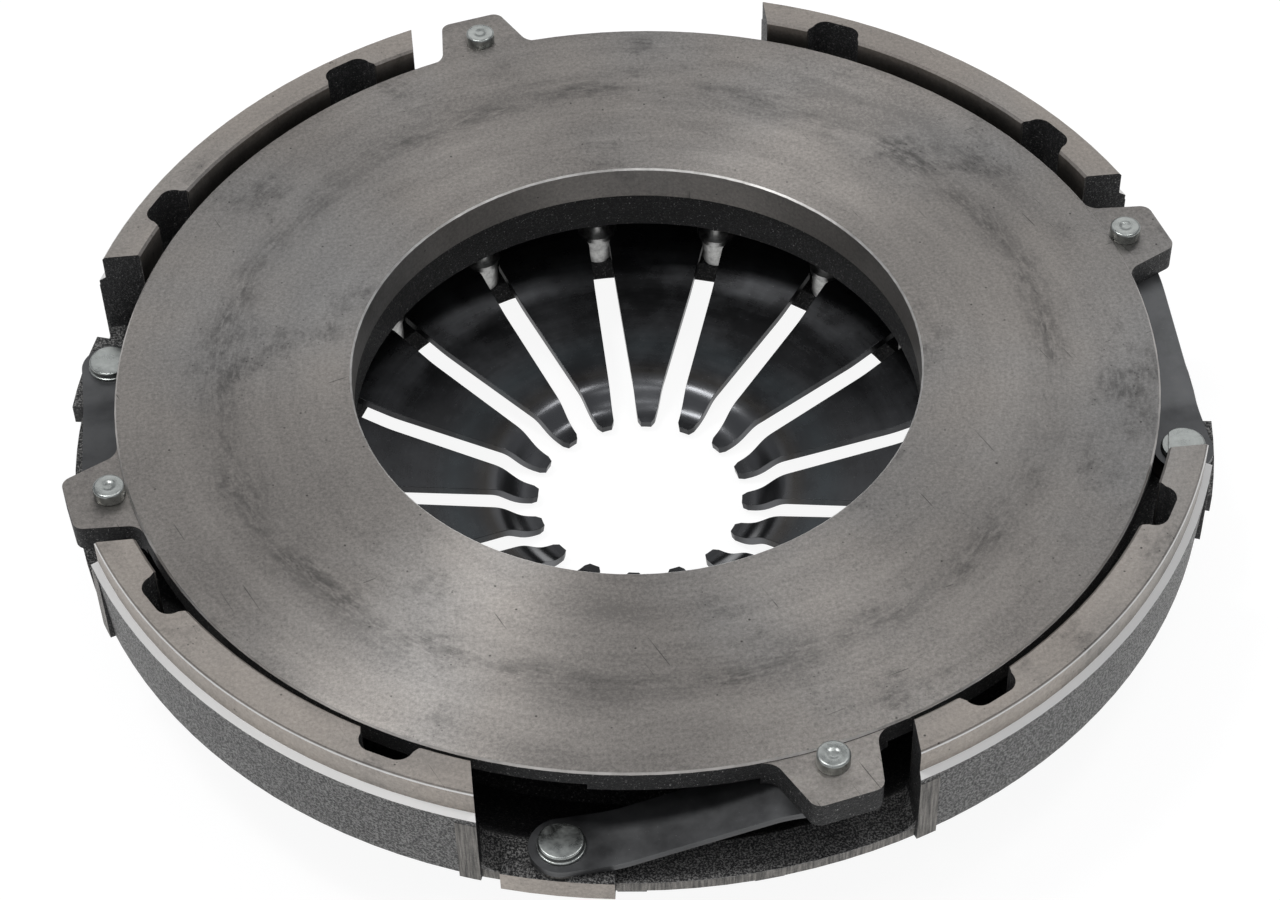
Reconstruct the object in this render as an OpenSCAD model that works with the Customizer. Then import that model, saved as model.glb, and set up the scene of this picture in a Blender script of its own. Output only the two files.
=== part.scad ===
// Tractor clutch pressure plate assembly: a cast cover with four strap windows, a
// pressure plate hung on four packs of leaf straps, and a diaphragm spring that tilts
// between two wire rings held by pivot rivets.
// Millimetres. The origin is on the clutch axis in the plane of the flywheel mounting
// face. +Z points to the flywheel, and all of the clutch lies on the other side. +X runs
// through the middle of a strap window.

/* [Pressure plate] */
// Outer radius of the friction face
plate_r = 177.5; // [172:0.5:182]
// Radius of the bore through the plate
plate_bore_r = 97.3; // [92:0.1:100]
// Depth of the turned band at the top of the plate bore
bore_band = 12.8; // [6:0.1:18]
// Height of the plate at its bore
plate_bore_height = 27.7; // [24:0.1:29]
// Height of the plate body between the bore and the pressure ridge
plate_body = 20; // [16:0.5:23]
// Height of the rim of the plate
plate_rim = 7.9; // [6:0.1:9]
// Depth of the relief in the under side of the rim, over a cover rivet
rim_relief = 2.3; // [0.5:0.1:3]
// Angle from a lug back to the near end of the relief
relief_angle = 23.8; // [22:0.1:28]
// Angle that the relief covers
relief_sweep = 15; // [8:0.5:18]
// Distance that the deep body stays inside the rim of the plate
rim_overhang = 12; // [11:0.5:14]
// Height of the plate from the friction face to the tip of the pressure ridge
ridge_height = 35.3; // [33:0.1:38]
// Width of the pressure ridge at its tip
ridge_tip = 2.4; // [1.5:0.1:4]
// Width of the pressure ridge at its root
ridge_root = 9; // [6:0.5:11]
// Number of cooling notches across the pressure ridge
notch_count = 16; // [4:1:24]
// Width of one cooling notch
notch_w = 11; // [4:0.5:16]
// Bevel on the edges of the friction face
face_bevel = 0.6; // [0.2:0.1:1.5]

/* [Drive lugs] */
// Number of lugs, strap packs and strap windows
corner_count = 4; // [3:1:4]
// Angle of the first lug from +X
lug_angle = 13.1; // [10:0.1:16]
// Distance that a lug stands out from the rim of the plate
lug_reach = 19.8; // [18:0.1:22]
// Half of the width of a lug where it leaves the plate
lug_root_half = 15.4; // [13:0.1:18]
// Half of the width of a lug near its end
lug_end_half = 12.3; // [10.5:0.1:13]
// Radius of the outer corners of a lug
lug_corner = 4; // [2:0.5:6]
// Radius of the fillet between a lug and the rim
lug_fillet = 6; // [3:0.5:9]
// Depth of the lug top below the friction face
lug_drop = 0.9; // [0.3:0.1:2]
// Thickness of a lug
lug_thick = 9.8; // [8:0.1:12]
// Distance of the lug rivet outside the rim of the plate
lug_rivet_out = 5.5; // [4:0.1:7]
// Diameter of the shank of a lug rivet
lug_shank_d = 8; // [6:0.5:9]
// Diameter of the head of a lug rivet
lug_head_d = 10.6; // [9.5:0.1:12.5]
// Height of the head of a lug rivet
lug_head_h = 4.4; // [2.5:0.1:5]
// Diameter of the closed end of a lug rivet
lug_tail_d = 13; // [11:0.5:15]
// Height of the closed end of a lug rivet
lug_tail_h = 3; // [2:0.1:4]

/* [Cover rim] */
// Running gap between the plate and the turned inside of the rim
plate_gap = 4.3; // [2.5:0.1:6]
// Radial width of the mounting face
rim_face = 12.5; // [11:0.1:16]
// Depth of the centring spigot
spigot_depth = 9.2; // [6:0.1:12]
// Width of the ledge under the spigot
ledge_w = 2.3; // [1:0.1:4]
// Drop of the bevel on the ledge
ledge_drop = 1.4; // [0.5:0.1:3]
// Draft of the rough outer wall over its height
rim_draft = 1.6; // [0:0.1:3]
// Height of the rim from the mounting face to its lower edge
rim_height = 40.4; // [38:0.1:44]
// Bevel on the turned edges of the rim
rim_bevel = 0.8; // [0.3:0.1:1.5]

/* [Strap windows] */
// Width of a window between its straight side walls
window_w = 134.8; // [128:0.2:142]
// Depth of the window floor below the mounting face
window_depth = 35.9; // [34.5:0.1:36.5]
// Angle of a window centre behind the lug in it
window_lag = 13.1; // [11.5:0.1:14.5]
// Radius between the floor and the side walls of a window
window_fillet = 6; // [2:0.5:10]
// Height of the lip that turning the rim leaves under the window floor
turned_lip = 0.6; // [0.3:0.1:1.5]
// Angle covered by the striated strip at each end of a rim segment
strip_angle = 2; // [1.5:0.1:5]
// Distance that a striated strip stands out from the top of the outer wall
strip_out = 0.2; // [0.1:0.1:1.5]

/* [Bolt pockets] */
// Angle of a bolt pocket from the middle of its rim segment
pocket_angle = 15; // [10:0.5:16]
// Width of a pocket at the inside of the rim
pocket_mouth = 20.6; // [19:0.1:24]
// Depth of a pocket into the rim
pocket_depth = 7.5; // [7:0.1:8.5]
// Radius of the inner corners of a pocket
pocket_corner = 5; // [3:0.5:6.5]
// Distance between the centres of the two corner arcs of a pocket
pocket_flat = 8; // [5:0.5:9]
// Depth of the pocket floor below the mounting face
pocket_floor = 32; // [28:0.5:33.5]
// Distance of the bolt circle outside the turned inside of the rim
bolt_out = 1.7; // [1:0.1:2.5]
// Diameter of a clearance hole for a flywheel bolt
bolt_hole_d = 11; // [9:0.5:12]
// Diameter of the spot face and of the boss round a bolt hole
spot_d = 20; // [17:0.5:21]
// Depth of the spot face below the mounting face
spot_depth = 41.5; // [41:0.1:43]

/* [Cover back] */
// Thickness of the back wall
back_wall = 9; // [7:0.5:11]
// Depth of the cavity floor below the spring at its pivot circle
cavity_depth = 11; // [10:0.5:14]
// Clearance between the rim of the spring and the slope of the cavity floor
cavity_clear = 4; // [2:0.5:8]
// Thickness of the inner flange
flange_thick = 7; // [5:0.5:9]
// Distance of the edge of the opening inside the pivot rivets
opening_in = 10.4; // [9.5:0.1:13]
// Radial width of the rough bevel on the upper edge of the opening
opening_bevel = 4.8; // [2:0.1:6]
// Radial width of the bead that carries the lower wire ring
bead_w = 4.6; // [4.2:0.1:8]
// Number of ribs under each window
window_ribs = 2; // [1:1:3]
// Angle between two ribs under a window
rib_pitch = 13; // [8:0.5:16]
// Thickness of a rib
rib_w = 9; // [5:0.5:12]
// Depth of the rib feet below the tips of the spring
foot_clear = 1.4; // [1:0.1:5]
// Radius at which the feet end
foot_r = 155; // [145:1:165]
// Distance that a rib stands below the wall near the rim
rib_lift = 5; // [2:0.5:8]

/* [Strap seats] */
// Angle from the lug rivet back to the cover rivet
strap_sweep = 26.1; // [24:0.1:28]
// Distance of the cover rivet outside the turned inside of the rim
cover_rivet_out = 5.8; // [5:0.1:6.5]
// Height of the strap boss above the window floor
boss_h = 4.8; // [3:0.1:7]
// Radius of the strap boss
boss_r = 10; // [9:0.5:12]
// Distance that the turned pad stands out from the ledge radius
pad_out = 1.8; // [0.5:0.1:2.5]
// Width of the turned pad
pad_w = 35; // [24:0.5:40]
// Depth of the top of the pad below the strap boss
pad_drop = 1.3; // [0.5:0.1:3]
// Rise of the pads and strips above the lower edge of the rim
pad_lift = 0.4; // [0.2:0.1:1]
// Diameter of the shank of a cover rivet
cover_shank_d = 10; // [8:0.5:10.5]
// Diameter of the head of a cover rivet
cover_head_d = 14.4; // [13:0.1:16]
// Height of the head of a cover rivet
cover_head_h = 3; // [2:0.1:4]
// Distance that the rolled edge stands out from the head of a cover rivet
rolled_edge = 0.5; // [0.2:0.1:1]
// Diameter of the closed end of a cover rivet
cover_tail_d = 13.5; // [12:0.1:15]
// Height of the closed end of a cover rivet
cover_tail_h = 2.8; // [2:0.1:3]

/* [Leaf straps] */
// Width of a leaf
leaf_w = 20.4; // [18:0.2:22]
// Thickness of a leaf
leaf_t = 1.2; // [0.8:0.1:1.6]
// Gap between the two leaves of a pack
leaf_gap = 0.05; // [0.02:0.01:0.1]
// Length of the flat end under a lug, from the rivet
flat_lug = 12; // [11:0.5:18]
// Length of the flat end on the cover, from the rivet
flat_cover = 12; // [11:0.5:20]
// Share of the run between the flat ends that each bend takes
bend_share = 0.14; // [0.1:0.01:0.3]

/* [Diaphragm spring] */
// Thickness of the spring
spring_t = 3.15; // [2.6:0.05:3.6]
// Radius of the pivot circle, where the wire rings lie
pivot_r = 126.6; // [126.4:0.1:128]
// Distance from the pivot circle out to the pressure ridge
lever = 15.4; // [14:0.1:17]
// Distance that the rim of the spring stands out past the ridge
spring_rim = 4; // [3:0.1:6]
// Angle of the cone of the spring at rest
cone_angle = 19.6; // [17:0.1:21]
// Radius at which the fingers bend flatter
bend_r = 92.3; // [86:0.1:98]
// Angle of the fingers inside the bend
finger_angle = 12.45; // [10:0.05:14]
// Radius at which the step to the finger tips starts
step_r = 52; // [50:0.5:56]
// Radial length of the step
step_run = 10.5; // [8:0.5:12]
// Drop of the step
step_drop = 6.4; // [4:0.1:8]
// Radius of the circle inside the finger tips
tip_r = 36.5; // [33:0.5:38]
// Drop of the tips from the step to their ends
tip_drop = 0.9; // [0.2:0.1:2]
// Number of fingers
finger_count = 16; // [12:1:16]
// Angle of the first slot from +X
slot_angle = 2; // [0:0.1:4]
// Width of a slot at the finger tips
slot_tip_w = 8.9; // [7:0.1:9.5]
// Width of a slot at its outer end
slot_root_w = 7.6; // [6:0.1:9]
// Bevel on the corners of a finger tip
tip_bevel = 1.3; // [0.5:0.1:2]
// Diameter of the round window at the outer end of a slot
root_d = 15.2; // [14.8:0.1:15.8]

/* [Pivot rivets and wire rings] */
// Diameter of the ring wire
wire_d = 4; // [3.4:0.1:4.4]
// Angle of the gap between the ends of a wire ring
wire_split = 1.2; // [0.5:0.1:3]
// Distance of the pivot rivets inside the pivot circle
rivet_in = 9.2; // [9.1:0.1:9.8]
// Diameter of the collar that stands on the cover
collar_d = 12; // [10:0.1:13]
// Height of the collar
collar_h = 10.6; // [9:0.1:12]
// Diameter of the shoulder on top of the collar
shoulder_d = 14; // [12.5:0.1:14.1]
// Height of the shoulder
shoulder_h = 2; // [1.5:0.1:3]
// Diameter of the neck that passes through the spring
neck_d = 9.4; // [8:0.1:10.5]
// Diameter of the head over the upper wire ring
head_d = 19.4; // [19:0.1:21]
// Height of the head
head_h = 3; // [2.5:0.1:3.5]
// Diameter of the shank in the cover
shank_d = 8; // [6:0.5:9]
// Diameter of the closed end on the back of the cover
tail_d = 13; // [11:0.5:14]
// Height of the closed end
tail_h = 2.5; // [1.5:0.1:3]

/* [Heights and fits] */
// Depth of the friction face below the mounting face, with the clutch not fitted
friction_drop = 4.9; // [3.5:0.1:6]
// Play between the pressure ridge and the spring
ridge_play = 0.3; // [0.1:0.05:0.5]
// Play between a wire ring and what it touches
ring_play = 0.03; // [0.01:0.01:0.1]
// Radial play of a rivet shank in its hole
rivet_play = 0.05; // [0.02:0.01:0.1]

/* [Hidden] */
$fn = 96;

// A cut runs this far past the face it opens
over = 1;
// A window cut starts this far inside the turned bore
window_reach = 22;
// A spot face is cut free this far down
spot_reach = 15;
// Room between the closed end of a pivot rivet and the foot of a rib
tail_clear = 2.5;
// Rounding of the lower edge of the opening
opening_round = 2.6;
// Depth that ribs, strips and bosses are sunk into the casting they stand on
sink = 1;
// Lean of the inner end of a rib
rib_lean = 2;
// Distance that the outer end of a rib falls short of the rim
rib_short = 6;
// Drop of the outer end of a rib from its corner to the rim
rib_end_drop = 3;
// A pocket starts this far inside the turned bore
pocket_reach = 6;
// Drop of the under side of the plate rim to the middle and to the end of its overhang
rim_drops = [1.2, 6.3];
// Distance that the relief reaches inside the rim of the plate
relief_w = 7;
// Draft of the deep body of the plate
body_draft = 1.5;
// Rounding of the tip of the pressure ridge
ridge_round = 0.4;
// Widths of the skirt under the plate bore, at its foot and at its root
skirt_w = [6.5, 9];
// Steps from the turned band of the plate bore out to the rough bore
band_steps = [0.7, 1.2];
// Width of the bevels on the rivet heads
head_bevel = 0.6;
// Bevels on the closed ends of the rivets
tail_bevel = 1.5;
// Room round the closed end of a cover rivet
tail_room = 0.5;
// Share of the height of a pivot rivet head up to its bevel
head_side = 0.6;
// Radius and depth of the dimple in the head of a lug rivet
dimple_r = 2;
dimple_depth = 0.4;
// Heights of the rolled edge of a cover rivet, at its outside and at the head
rolled_h = [0.7, 0.9];
// Drop of the bevel of the opening over its width
bevel_slope = 0.92;
// Share of the radius of the plate at which the plan of a lug starts
lug_start = 0.92;
// Distance outside the plate at which the root of a lug is measured
lug_root_out = 4.5;
// A slot is open this far inside the finger tips
slot_reach = 4;
corner_step = 360 / corner_count;

// Radii of the rim
bore_r = plate_r + plate_gap;
spigot_r = bore_r + rim_face;
rim_r = spigot_r + ledge_w;
low_r = rim_r - rim_draft;

// Angles of the corners
window_angle = lug_angle - window_lag;
cover_rivet_angle = lug_angle - strap_sweep;
segment_angle = window_angle + corner_step / 2;

// Heights of the plate
friction_z = -friction_drop;
rim_under_z = friction_z - plate_rim;
body_z = friction_z - plate_body;
skirt_z = friction_z - plate_bore_height;
ridge_z = friction_z - ridge_height;
ridge_r = pivot_r + lever;
lug_top_z = friction_z - lug_drop;
lug_under_z = lug_top_z - lug_thick;
lug_rivet_r = plate_r + lug_rivet_out;
lug_end_r = plate_r + lug_reach;

// The spring, from its pivot circle
cone_slope = tan(cone_angle);
pivot_z = ridge_z - ridge_play / cos(cone_angle) - cone_slope * lever;
function cone_z(r) = pivot_z + cone_slope * (r - pivot_r);
spring_r = ridge_r + spring_rim;
bend_z = cone_z(bend_r);
step_z = bend_z - tan(finger_angle) * (bend_r - step_r);
function ease(t) = t * t * (3 - 2 * t);
step_n = 8;
step_points = [
    for (i = [0 : step_n])
        [step_r - step_run * i / step_n, step_z - step_drop * ease(i / step_n)]
];
tip_z = step_z - step_drop - tip_drop;
spring_top = concat(
    [[spring_r, cone_z(spring_r)], [bend_r, bend_z]],
    step_points,
    [[tip_r, tip_z]]
);
function unit(v) = v / norm(v);
function along(p, i) = unit(p[min(i + 1, len(p) - 1)] - p[max(i - 1, 0)]);
// A point moved by t square to the line, on the side away from the flywheel
function under(p, i, t) = p[i] + t * [along(p, i)[1], -along(p, i)[0]] * sign(-along(p, i)[0]) * -1;
spring_under = [for (i = [0 : len(spring_top) - 1]) under(spring_top, i, spring_t)];
tip_under_z = tip_z - spring_t;

// The wire rings and what they bear on
wire_off = (wire_d / 2 + ring_play) / cos(cone_angle);
upper_wire_z = pivot_z + wire_off;
lower_wire_z = pivot_z - spring_t / cos(cone_angle) - wire_off;
bead_z = lower_wire_z - wire_d / 2 - ring_play;
head_z = upper_wire_z + wire_d / 2 + ring_play;

// The pivot rivets
rivet_r = pivot_r - rivet_in;
shoulder_z = pivot_z - spring_t / cos(cone_angle) - shoulder_h / 2 - wire_off;
flange_z = shoulder_z - collar_h;
flange_back_z = flange_z - flange_thick;
finger_step = 360 / finger_count;

// The back of the cover
floor_z = pivot_z - cavity_depth;
floor_out_r = spring_r + cavity_clear;
back_z = floor_z - back_wall;
bead_in_r = pivot_r - bead_w / 2;
bead_out_r = pivot_r + bead_w / 2;
slope_top_z = -window_depth - turned_lip;
back_angle = atan2(slope_top_z - floor_z, bore_r - floor_out_r);
back_corner_r = floor_out_r + back_wall * tan(back_angle / 2);
back_end_r = back_corner_r + (-rim_height - back_z) / tan(back_angle);
foot_z = tip_under_z - foot_clear;
rib_in_r = rivet_r + tail_d / 2 + tail_clear;
opening_r = rivet_r - opening_in;

// The straps
cover_rivet_r = bore_r + cover_rivet_out;
boss_z = -window_depth + boss_h;
pad_low_z = -rim_height + pad_lift;
pad_h = boss_z - pad_drop - pad_low_z;
strip_top_z = -spigot_depth - ledge_drop - sink;
pack_t = 2 * leaf_t + leaf_gap;
strap_low_z = boss_z + pack_t;
lug_rivet_at = lug_rivet_r * [1, 0];
cover_rivet_at = cover_rivet_r * [cos(strap_sweep), -sin(strap_sweep)];
strap_span = norm(cover_rivet_at - lug_rivet_at);
strap_turn = atan2(
    cover_rivet_at[1] - lug_rivet_at[1],
    cover_rivet_at[0] - lug_rivet_at[0]
);
leaf_end = leaf_w / 2;
bend_n = 10;
fillet_n = 6;

// The bolts of the flywheel
bolt_r = bore_r + bolt_out;

// Copies of a corner
module corners(angle) {
    for (k = [0 : corner_count - 1])
        rotate(angle + k * corner_step)
            children();
}

// Both bolt places of every rim segment
module bolt_places() {
    for (side = [-1, 1])
        corners(segment_angle + side * pocket_angle)
            children();
}

// The turned and cast section of the cover
cover_section = [
    [bore_r + rim_bevel, 0],
    [spigot_r - rim_bevel, 0],
    [spigot_r, -rim_bevel],
    [spigot_r, -spigot_depth],
    [rim_r, -spigot_depth - ledge_drop],
    [low_r, -rim_height],
    [back_end_r, -rim_height],
    [back_corner_r, back_z],
    [rib_in_r + flange_thick, back_z],
    [rib_in_r, flange_back_z],
    [opening_r + opening_round, flange_back_z],
    [opening_r, flange_z - opening_bevel * bevel_slope],
    [opening_r + opening_bevel, flange_z],
    [bead_in_r, flange_z],
    [bead_in_r, bead_z],
    [bead_out_r, bead_z],
    [bead_out_r + sink, floor_z],
    [floor_out_r, floor_z],
    [bore_r, slope_top_z],
    [bore_r, -rim_bevel]
];

// One strap window, cut along the radius through the rim
module window_cut() {
    half = window_w / 2 - window_fillet;
    low = -window_depth + window_fillet;
    start = bore_r - window_reach;
    arc = [
        for (i = [0 : fillet_n])
            let (a = -90 + 90 * i / fillet_n)
                [half + window_fillet * cos(a), low + window_fillet * sin(a)]
    ];
    rotate([90, 0, 90])
        translate([0, 0, start])
            linear_extrude(rim_r + window_reach - start)
                polygon(concat(
                    arc,
                    [[window_w / 2, over], [-window_w / 2, over]],
                    [for (i = [fillet_n : -1 : 0]) [-arc[i][0], arc[i][1]]]
                ));
}

// Plan of a bolt pocket, open to the inside of the rim
module pocket_plan() {
    arc_r = bore_r + pocket_depth - pocket_corner;
    wide = pocket_flat / 2 + pocket_corner;
    polygon([
        [bore_r - pocket_reach, -pocket_mouth / 2],
        [bore_r, -pocket_mouth / 2],
        [arc_r, -wide],
        [arc_r, wide],
        [bore_r, pocket_mouth / 2],
        [bore_r - pocket_reach, pocket_mouth / 2]
    ]);
    translate([arc_r - over / 2, -pocket_flat / 2])
        square([pocket_corner + over / 2, pocket_flat]);
    for (side = [-1, 1])
        translate([arc_r, side * pocket_flat / 2])
            circle(r = pocket_corner);
}

// A rib under the back wall, with a foot that the cover stands on
module rib(turn) {
    top_z = floor_z - back_wall / 2;
    rotate([90, 0, turn])
        translate([0, 0, -rib_w / 2])
            linear_extrude(rib_w)
                polygon([
                    [rib_in_r + sink, top_z],
                    [rib_in_r + sink + rib_lean, foot_z],
                    [foot_r, foot_z],
                    [low_r - rib_short, -rim_height - rib_lift - rib_end_drop - sink],
                    [low_r - sink, -rim_height - sink],
                    [low_r - 2 * sink, -rim_height + 2 * sink],
                    [floor_out_r, top_z]
                ]);
}

// The turned pad and the boss that carry the cover end of a strap pack
module strap_seat() {
    half = asin(pad_w / 2 / rim_r);
    rotate(-half)
        rotate_extrude(angle = 2 * half)
            translate([cover_rivet_r, pad_low_z])
                square([rim_r + pad_out - cover_rivet_r, pad_h]);
    translate([cover_rivet_r, 0, sink - rim_height])
        cylinder(r = boss_r, h = boss_z + rim_height - sink);
}

// The striated strips at both ends of a rim segment
module end_strips() {
    end_angle = asin(window_w / 2 / rim_r);
    for (side = [-1, 1])
        rotate(side * (end_angle + strip_angle / 2) - strip_angle / 2)
            rotate_extrude(angle = strip_angle)
                polygon([
                    [spigot_r - rib_short, strip_top_z],
                    [rim_r - sink, strip_top_z],
                    [rim_r + strip_out, strip_top_z - sink - strip_out],
                    [rim_r + strip_out, pad_low_z],
                    [spigot_r - rib_short, pad_low_z]
                ]);
}

module cover() {
    color("#3a3a3c")
        difference() {
            union() {
                difference() {
                    rotate_extrude()
                        polygon(cover_section);
                    corners(window_angle)
                        window_cut();
                }
                difference() {
                    corners(window_angle)
                        end_strips();
                    corners(window_angle)
                        window_cut();
                }
                corners(cover_rivet_angle)
                    strap_seat();
                bolt_places()
                    translate([bolt_r, 0, -spot_depth])
                        cylinder(d = spot_d, h = spot_depth - pocket_floor);
                for (k = [0 : corner_count - 1]) {
                    rib(segment_angle + k * corner_step);
                    for (j = [0 : window_ribs - 1])
                        rib(window_angle + (j - (window_ribs - 1) / 2) * rib_pitch + k * corner_step);
                }
            }
            bolt_places() {
                translate([0, 0, -pocket_floor])
                    linear_extrude(pocket_floor + over)
                        pocket_plan();
                translate([bolt_r, 0, -spot_depth - over])
                    cylinder(d = bolt_hole_d, h = spot_depth + 2 * over);
                translate([bolt_r, 0, -spot_depth - spot_reach])
                    cylinder(d = spot_d, h = spot_reach);
            }
            corners(cover_rivet_angle) {
                translate([cover_rivet_r, 0, -spot_depth - over])
                    cylinder(d = cover_shank_d + 2 * rivet_play, h = spot_depth + boss_z + 2 * over);
                translate([cover_rivet_r, 0, -spot_depth - spot_reach])
                    cylinder(d = cover_tail_d + 2 * tail_room, h = spot_reach);
            }
            for (i = [0 : finger_count - 1])
                rotate(slot_angle + i * finger_step)
                    translate([rivet_r, 0, flange_back_z - over])
                        cylinder(d = shank_d + 2 * rivet_play, h = flange_thick + 2 * over);
        }
}

// Plan of one lug, standing out along +X
module lug_plan() {
    root = [plate_r + lug_root_out, lug_root_half];
    end = [lug_end_r - lug_corner, lug_end_half];
    dir = unit(end - root);
    out = [-dir[1], dir[0]];
    corner_at = [end[0], root[1] - (lug_corner + out[0] * (end[0] - root[0])) / out[1]];
    // The fillet arc touches the side of the lug and the rim of the plate
    base = root + lug_fillet * out;
    reach = plate_r + lug_fillet;
    b = base * dir;
    s = -b + sqrt(b * b - base * base + reach * reach);
    centre = base + s * dir;
    touch_rim = plate_r * unit(centre);
    touch_side = centre - lug_fillet * out;
    near_corner = corner_at + lug_corner * out;
    half = [
        touch_rim * lug_start,
        touch_rim,
        centre,
        touch_side,
        near_corner,
        corner_at,
        [lug_end_r, corner_at[1]]
    ];
    difference() {
        union() {
            polygon(concat(half, [for (i = [len(half) - 1 : -1 : 0]) [half[i][0], -half[i][1]]]));
            for (side = [-1, 1])
                translate([corner_at[0], side * corner_at[1]])
                    circle(r = lug_corner);
        }
        for (side = [-1, 1])
            translate([centre[0], side * centre[1]])
                circle(r = lug_fillet);
    }
}

plate_section = [
    [plate_bore_r + face_bevel, friction_z],
    [plate_r - face_bevel, friction_z],
    [plate_r, friction_z - face_bevel],
    [plate_r, rim_under_z],
    [plate_r - rim_overhang / 2, rim_under_z - rim_drops[0]],
    [plate_r - rim_overhang, rim_under_z - rim_drops[1]],
    [plate_r - rim_overhang - body_draft, body_z],
    [ridge_r + ridge_root / 2, body_z],
    [ridge_r + ridge_tip / 2, ridge_z + ridge_round],
    [ridge_r + ridge_tip / 4, ridge_z],
    [ridge_r - ridge_tip / 4, ridge_z],
    [ridge_r - ridge_tip / 2, ridge_z + ridge_round],
    [ridge_r - ridge_root / 2, body_z],
    [plate_bore_r + skirt_w[1], body_z],
    [plate_bore_r + skirt_w[0], skirt_z],
    [plate_bore_r + band_steps[1], skirt_z],
    [plate_bore_r + band_steps[0], friction_z - bore_band - band_steps[0]],
    [plate_bore_r, friction_z - bore_band],
    [plate_bore_r, friction_z - face_bevel]
];

// The relief of the plate rim over one cover rivet
module relief_cut() {
    low_z = rim_under_z - rim_drops[1] - over;
    rotate(-relief_angle - relief_sweep)
        rotate_extrude(angle = relief_sweep)
            translate([plate_r - relief_w, low_z])
                square([relief_w + over, rim_under_z + rim_relief - low_z]);
}

module pressure_plate() {
    color("#77746f")
        difference() {
            union() {
                rotate_extrude()
                    polygon(plate_section);
                corners(lug_angle)
                    translate([0, 0, lug_under_z])
                        linear_extrude(lug_thick)
                            lug_plan();
            }
            corners(lug_angle) {
                translate([lug_rivet_r, 0, lug_under_z - over])
                    cylinder(d = lug_shank_d + 2 * rivet_play, h = lug_thick + 2 * over);
                relief_cut();
            }
            for (i = [0 : notch_count - 1])
                rotate(slot_angle + (i + 0.5) * 360 / notch_count)
                    translate([ridge_r - ridge_root, -notch_w / 2, ridge_z - over])
                        cube([2 * ridge_root, notch_w, (body_z - ridge_z) / 2 + over]);
        }
}

// Plan of one slot, with its round window and the bevels of the finger tips
module slot_plan() {
    tip_half = slot_tip_w / 2;
    root_half = slot_root_w / 2;
    polygon([
        [tip_r - slot_reach, -tip_half - 2 * tip_bevel],
        [tip_r + tip_bevel * 1.5, -tip_half],
        [rivet_r, -root_half],
        [rivet_r, root_half],
        [tip_r + tip_bevel * 1.5, tip_half],
        [tip_r - slot_reach, tip_half + 2 * tip_bevel]
    ]);
    translate([rivet_r, 0])
        circle(d = root_d);
}

module diaphragm_spring() {
    color("#26282c")
        difference() {
            rotate_extrude()
                polygon(concat(
                    spring_top,
                    [for (i = [len(spring_under) - 1 : -1 : 0]) spring_under[i]]
                ));
            for (i = [0 : finger_count - 1])
                rotate(slot_angle + i * finger_step)
                    translate([0, 0, foot_z])
                        linear_extrude(-foot_z)
                            slot_plan();
        }
}

// A split ring of round wire on the pivot circle
module wire_ring(z, turn) {
    color("#55585c")
        rotate(turn + wire_split / 2)
            translate([0, 0, z])
                rotate_extrude(angle = 360 - wire_split)
                    translate([pivot_r, 0])
                        circle(d = wire_d);
}

module upper_fulcrum_ring() {
    wire_ring(upper_wire_z, slot_angle + finger_step / 2);
}

module lower_fulcrum_ring() {
    wire_ring(lower_wire_z, slot_angle + finger_step * 2.5);
}

// Half section of a pivot rivet, from its closed end to its head
pivot_section = [
    [0, flange_back_z - tail_h],
    [tail_d / 2 - tail_bevel, flange_back_z - tail_h],
    [tail_d / 2, flange_back_z],
    [shank_d / 2, flange_back_z],
    [shank_d / 2, flange_z],
    [collar_d / 2, flange_z],
    [collar_d / 2, shoulder_z],
    [shoulder_d / 2, shoulder_z],
    [shoulder_d / 2, shoulder_z + shoulder_h],
    [neck_d / 2, shoulder_z + shoulder_h],
    [neck_d / 2, head_z],
    [head_d / 2, head_z],
    [head_d / 2, head_z + head_h * head_side],
    [head_d / 2 - tail_bevel, head_z + head_h],
    [0, head_z + head_h]
];

module pivot_rivets() {
    color("#9a9c9c")
        for (i = [0 : finger_count - 1])
            rotate(slot_angle + i * finger_step)
                translate([rivet_r, 0, 0])
                    rotate_extrude()
                        polygon(pivot_section);
}

// Height of the upper side of a pack at distance s from the lug rivet
function strap_z(s) = strap_low_z + (lug_under_z - strap_low_z) * (1 - ease_strap(s));
function ease_strap(s) =
    let (t = (s - flat_lug) / (strap_span - flat_cover - flat_lug))
        t <= 0 ? 0 : t >= 1 ? 1 : bend_ease(t);
// Two bends with a straight slope between them
function bend_ease(t) =
    let (w = bend_share)
        t < w ? t * t / (2 * w * (1 - w)) :
        t > 1 - w ? 1 - (1 - t) * (1 - t) / (2 * w * (1 - w)) :
        (t - w / 2) / (1 - w);
bend_at = flat_lug;
bend_run = strap_span - flat_cover - flat_lug;
leaf_stations = concat(
    [-leaf_end],
    [for (i = [0 : bend_n]) bend_at + bend_run * i / bend_n],
    [strap_span + leaf_end]
);

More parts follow.
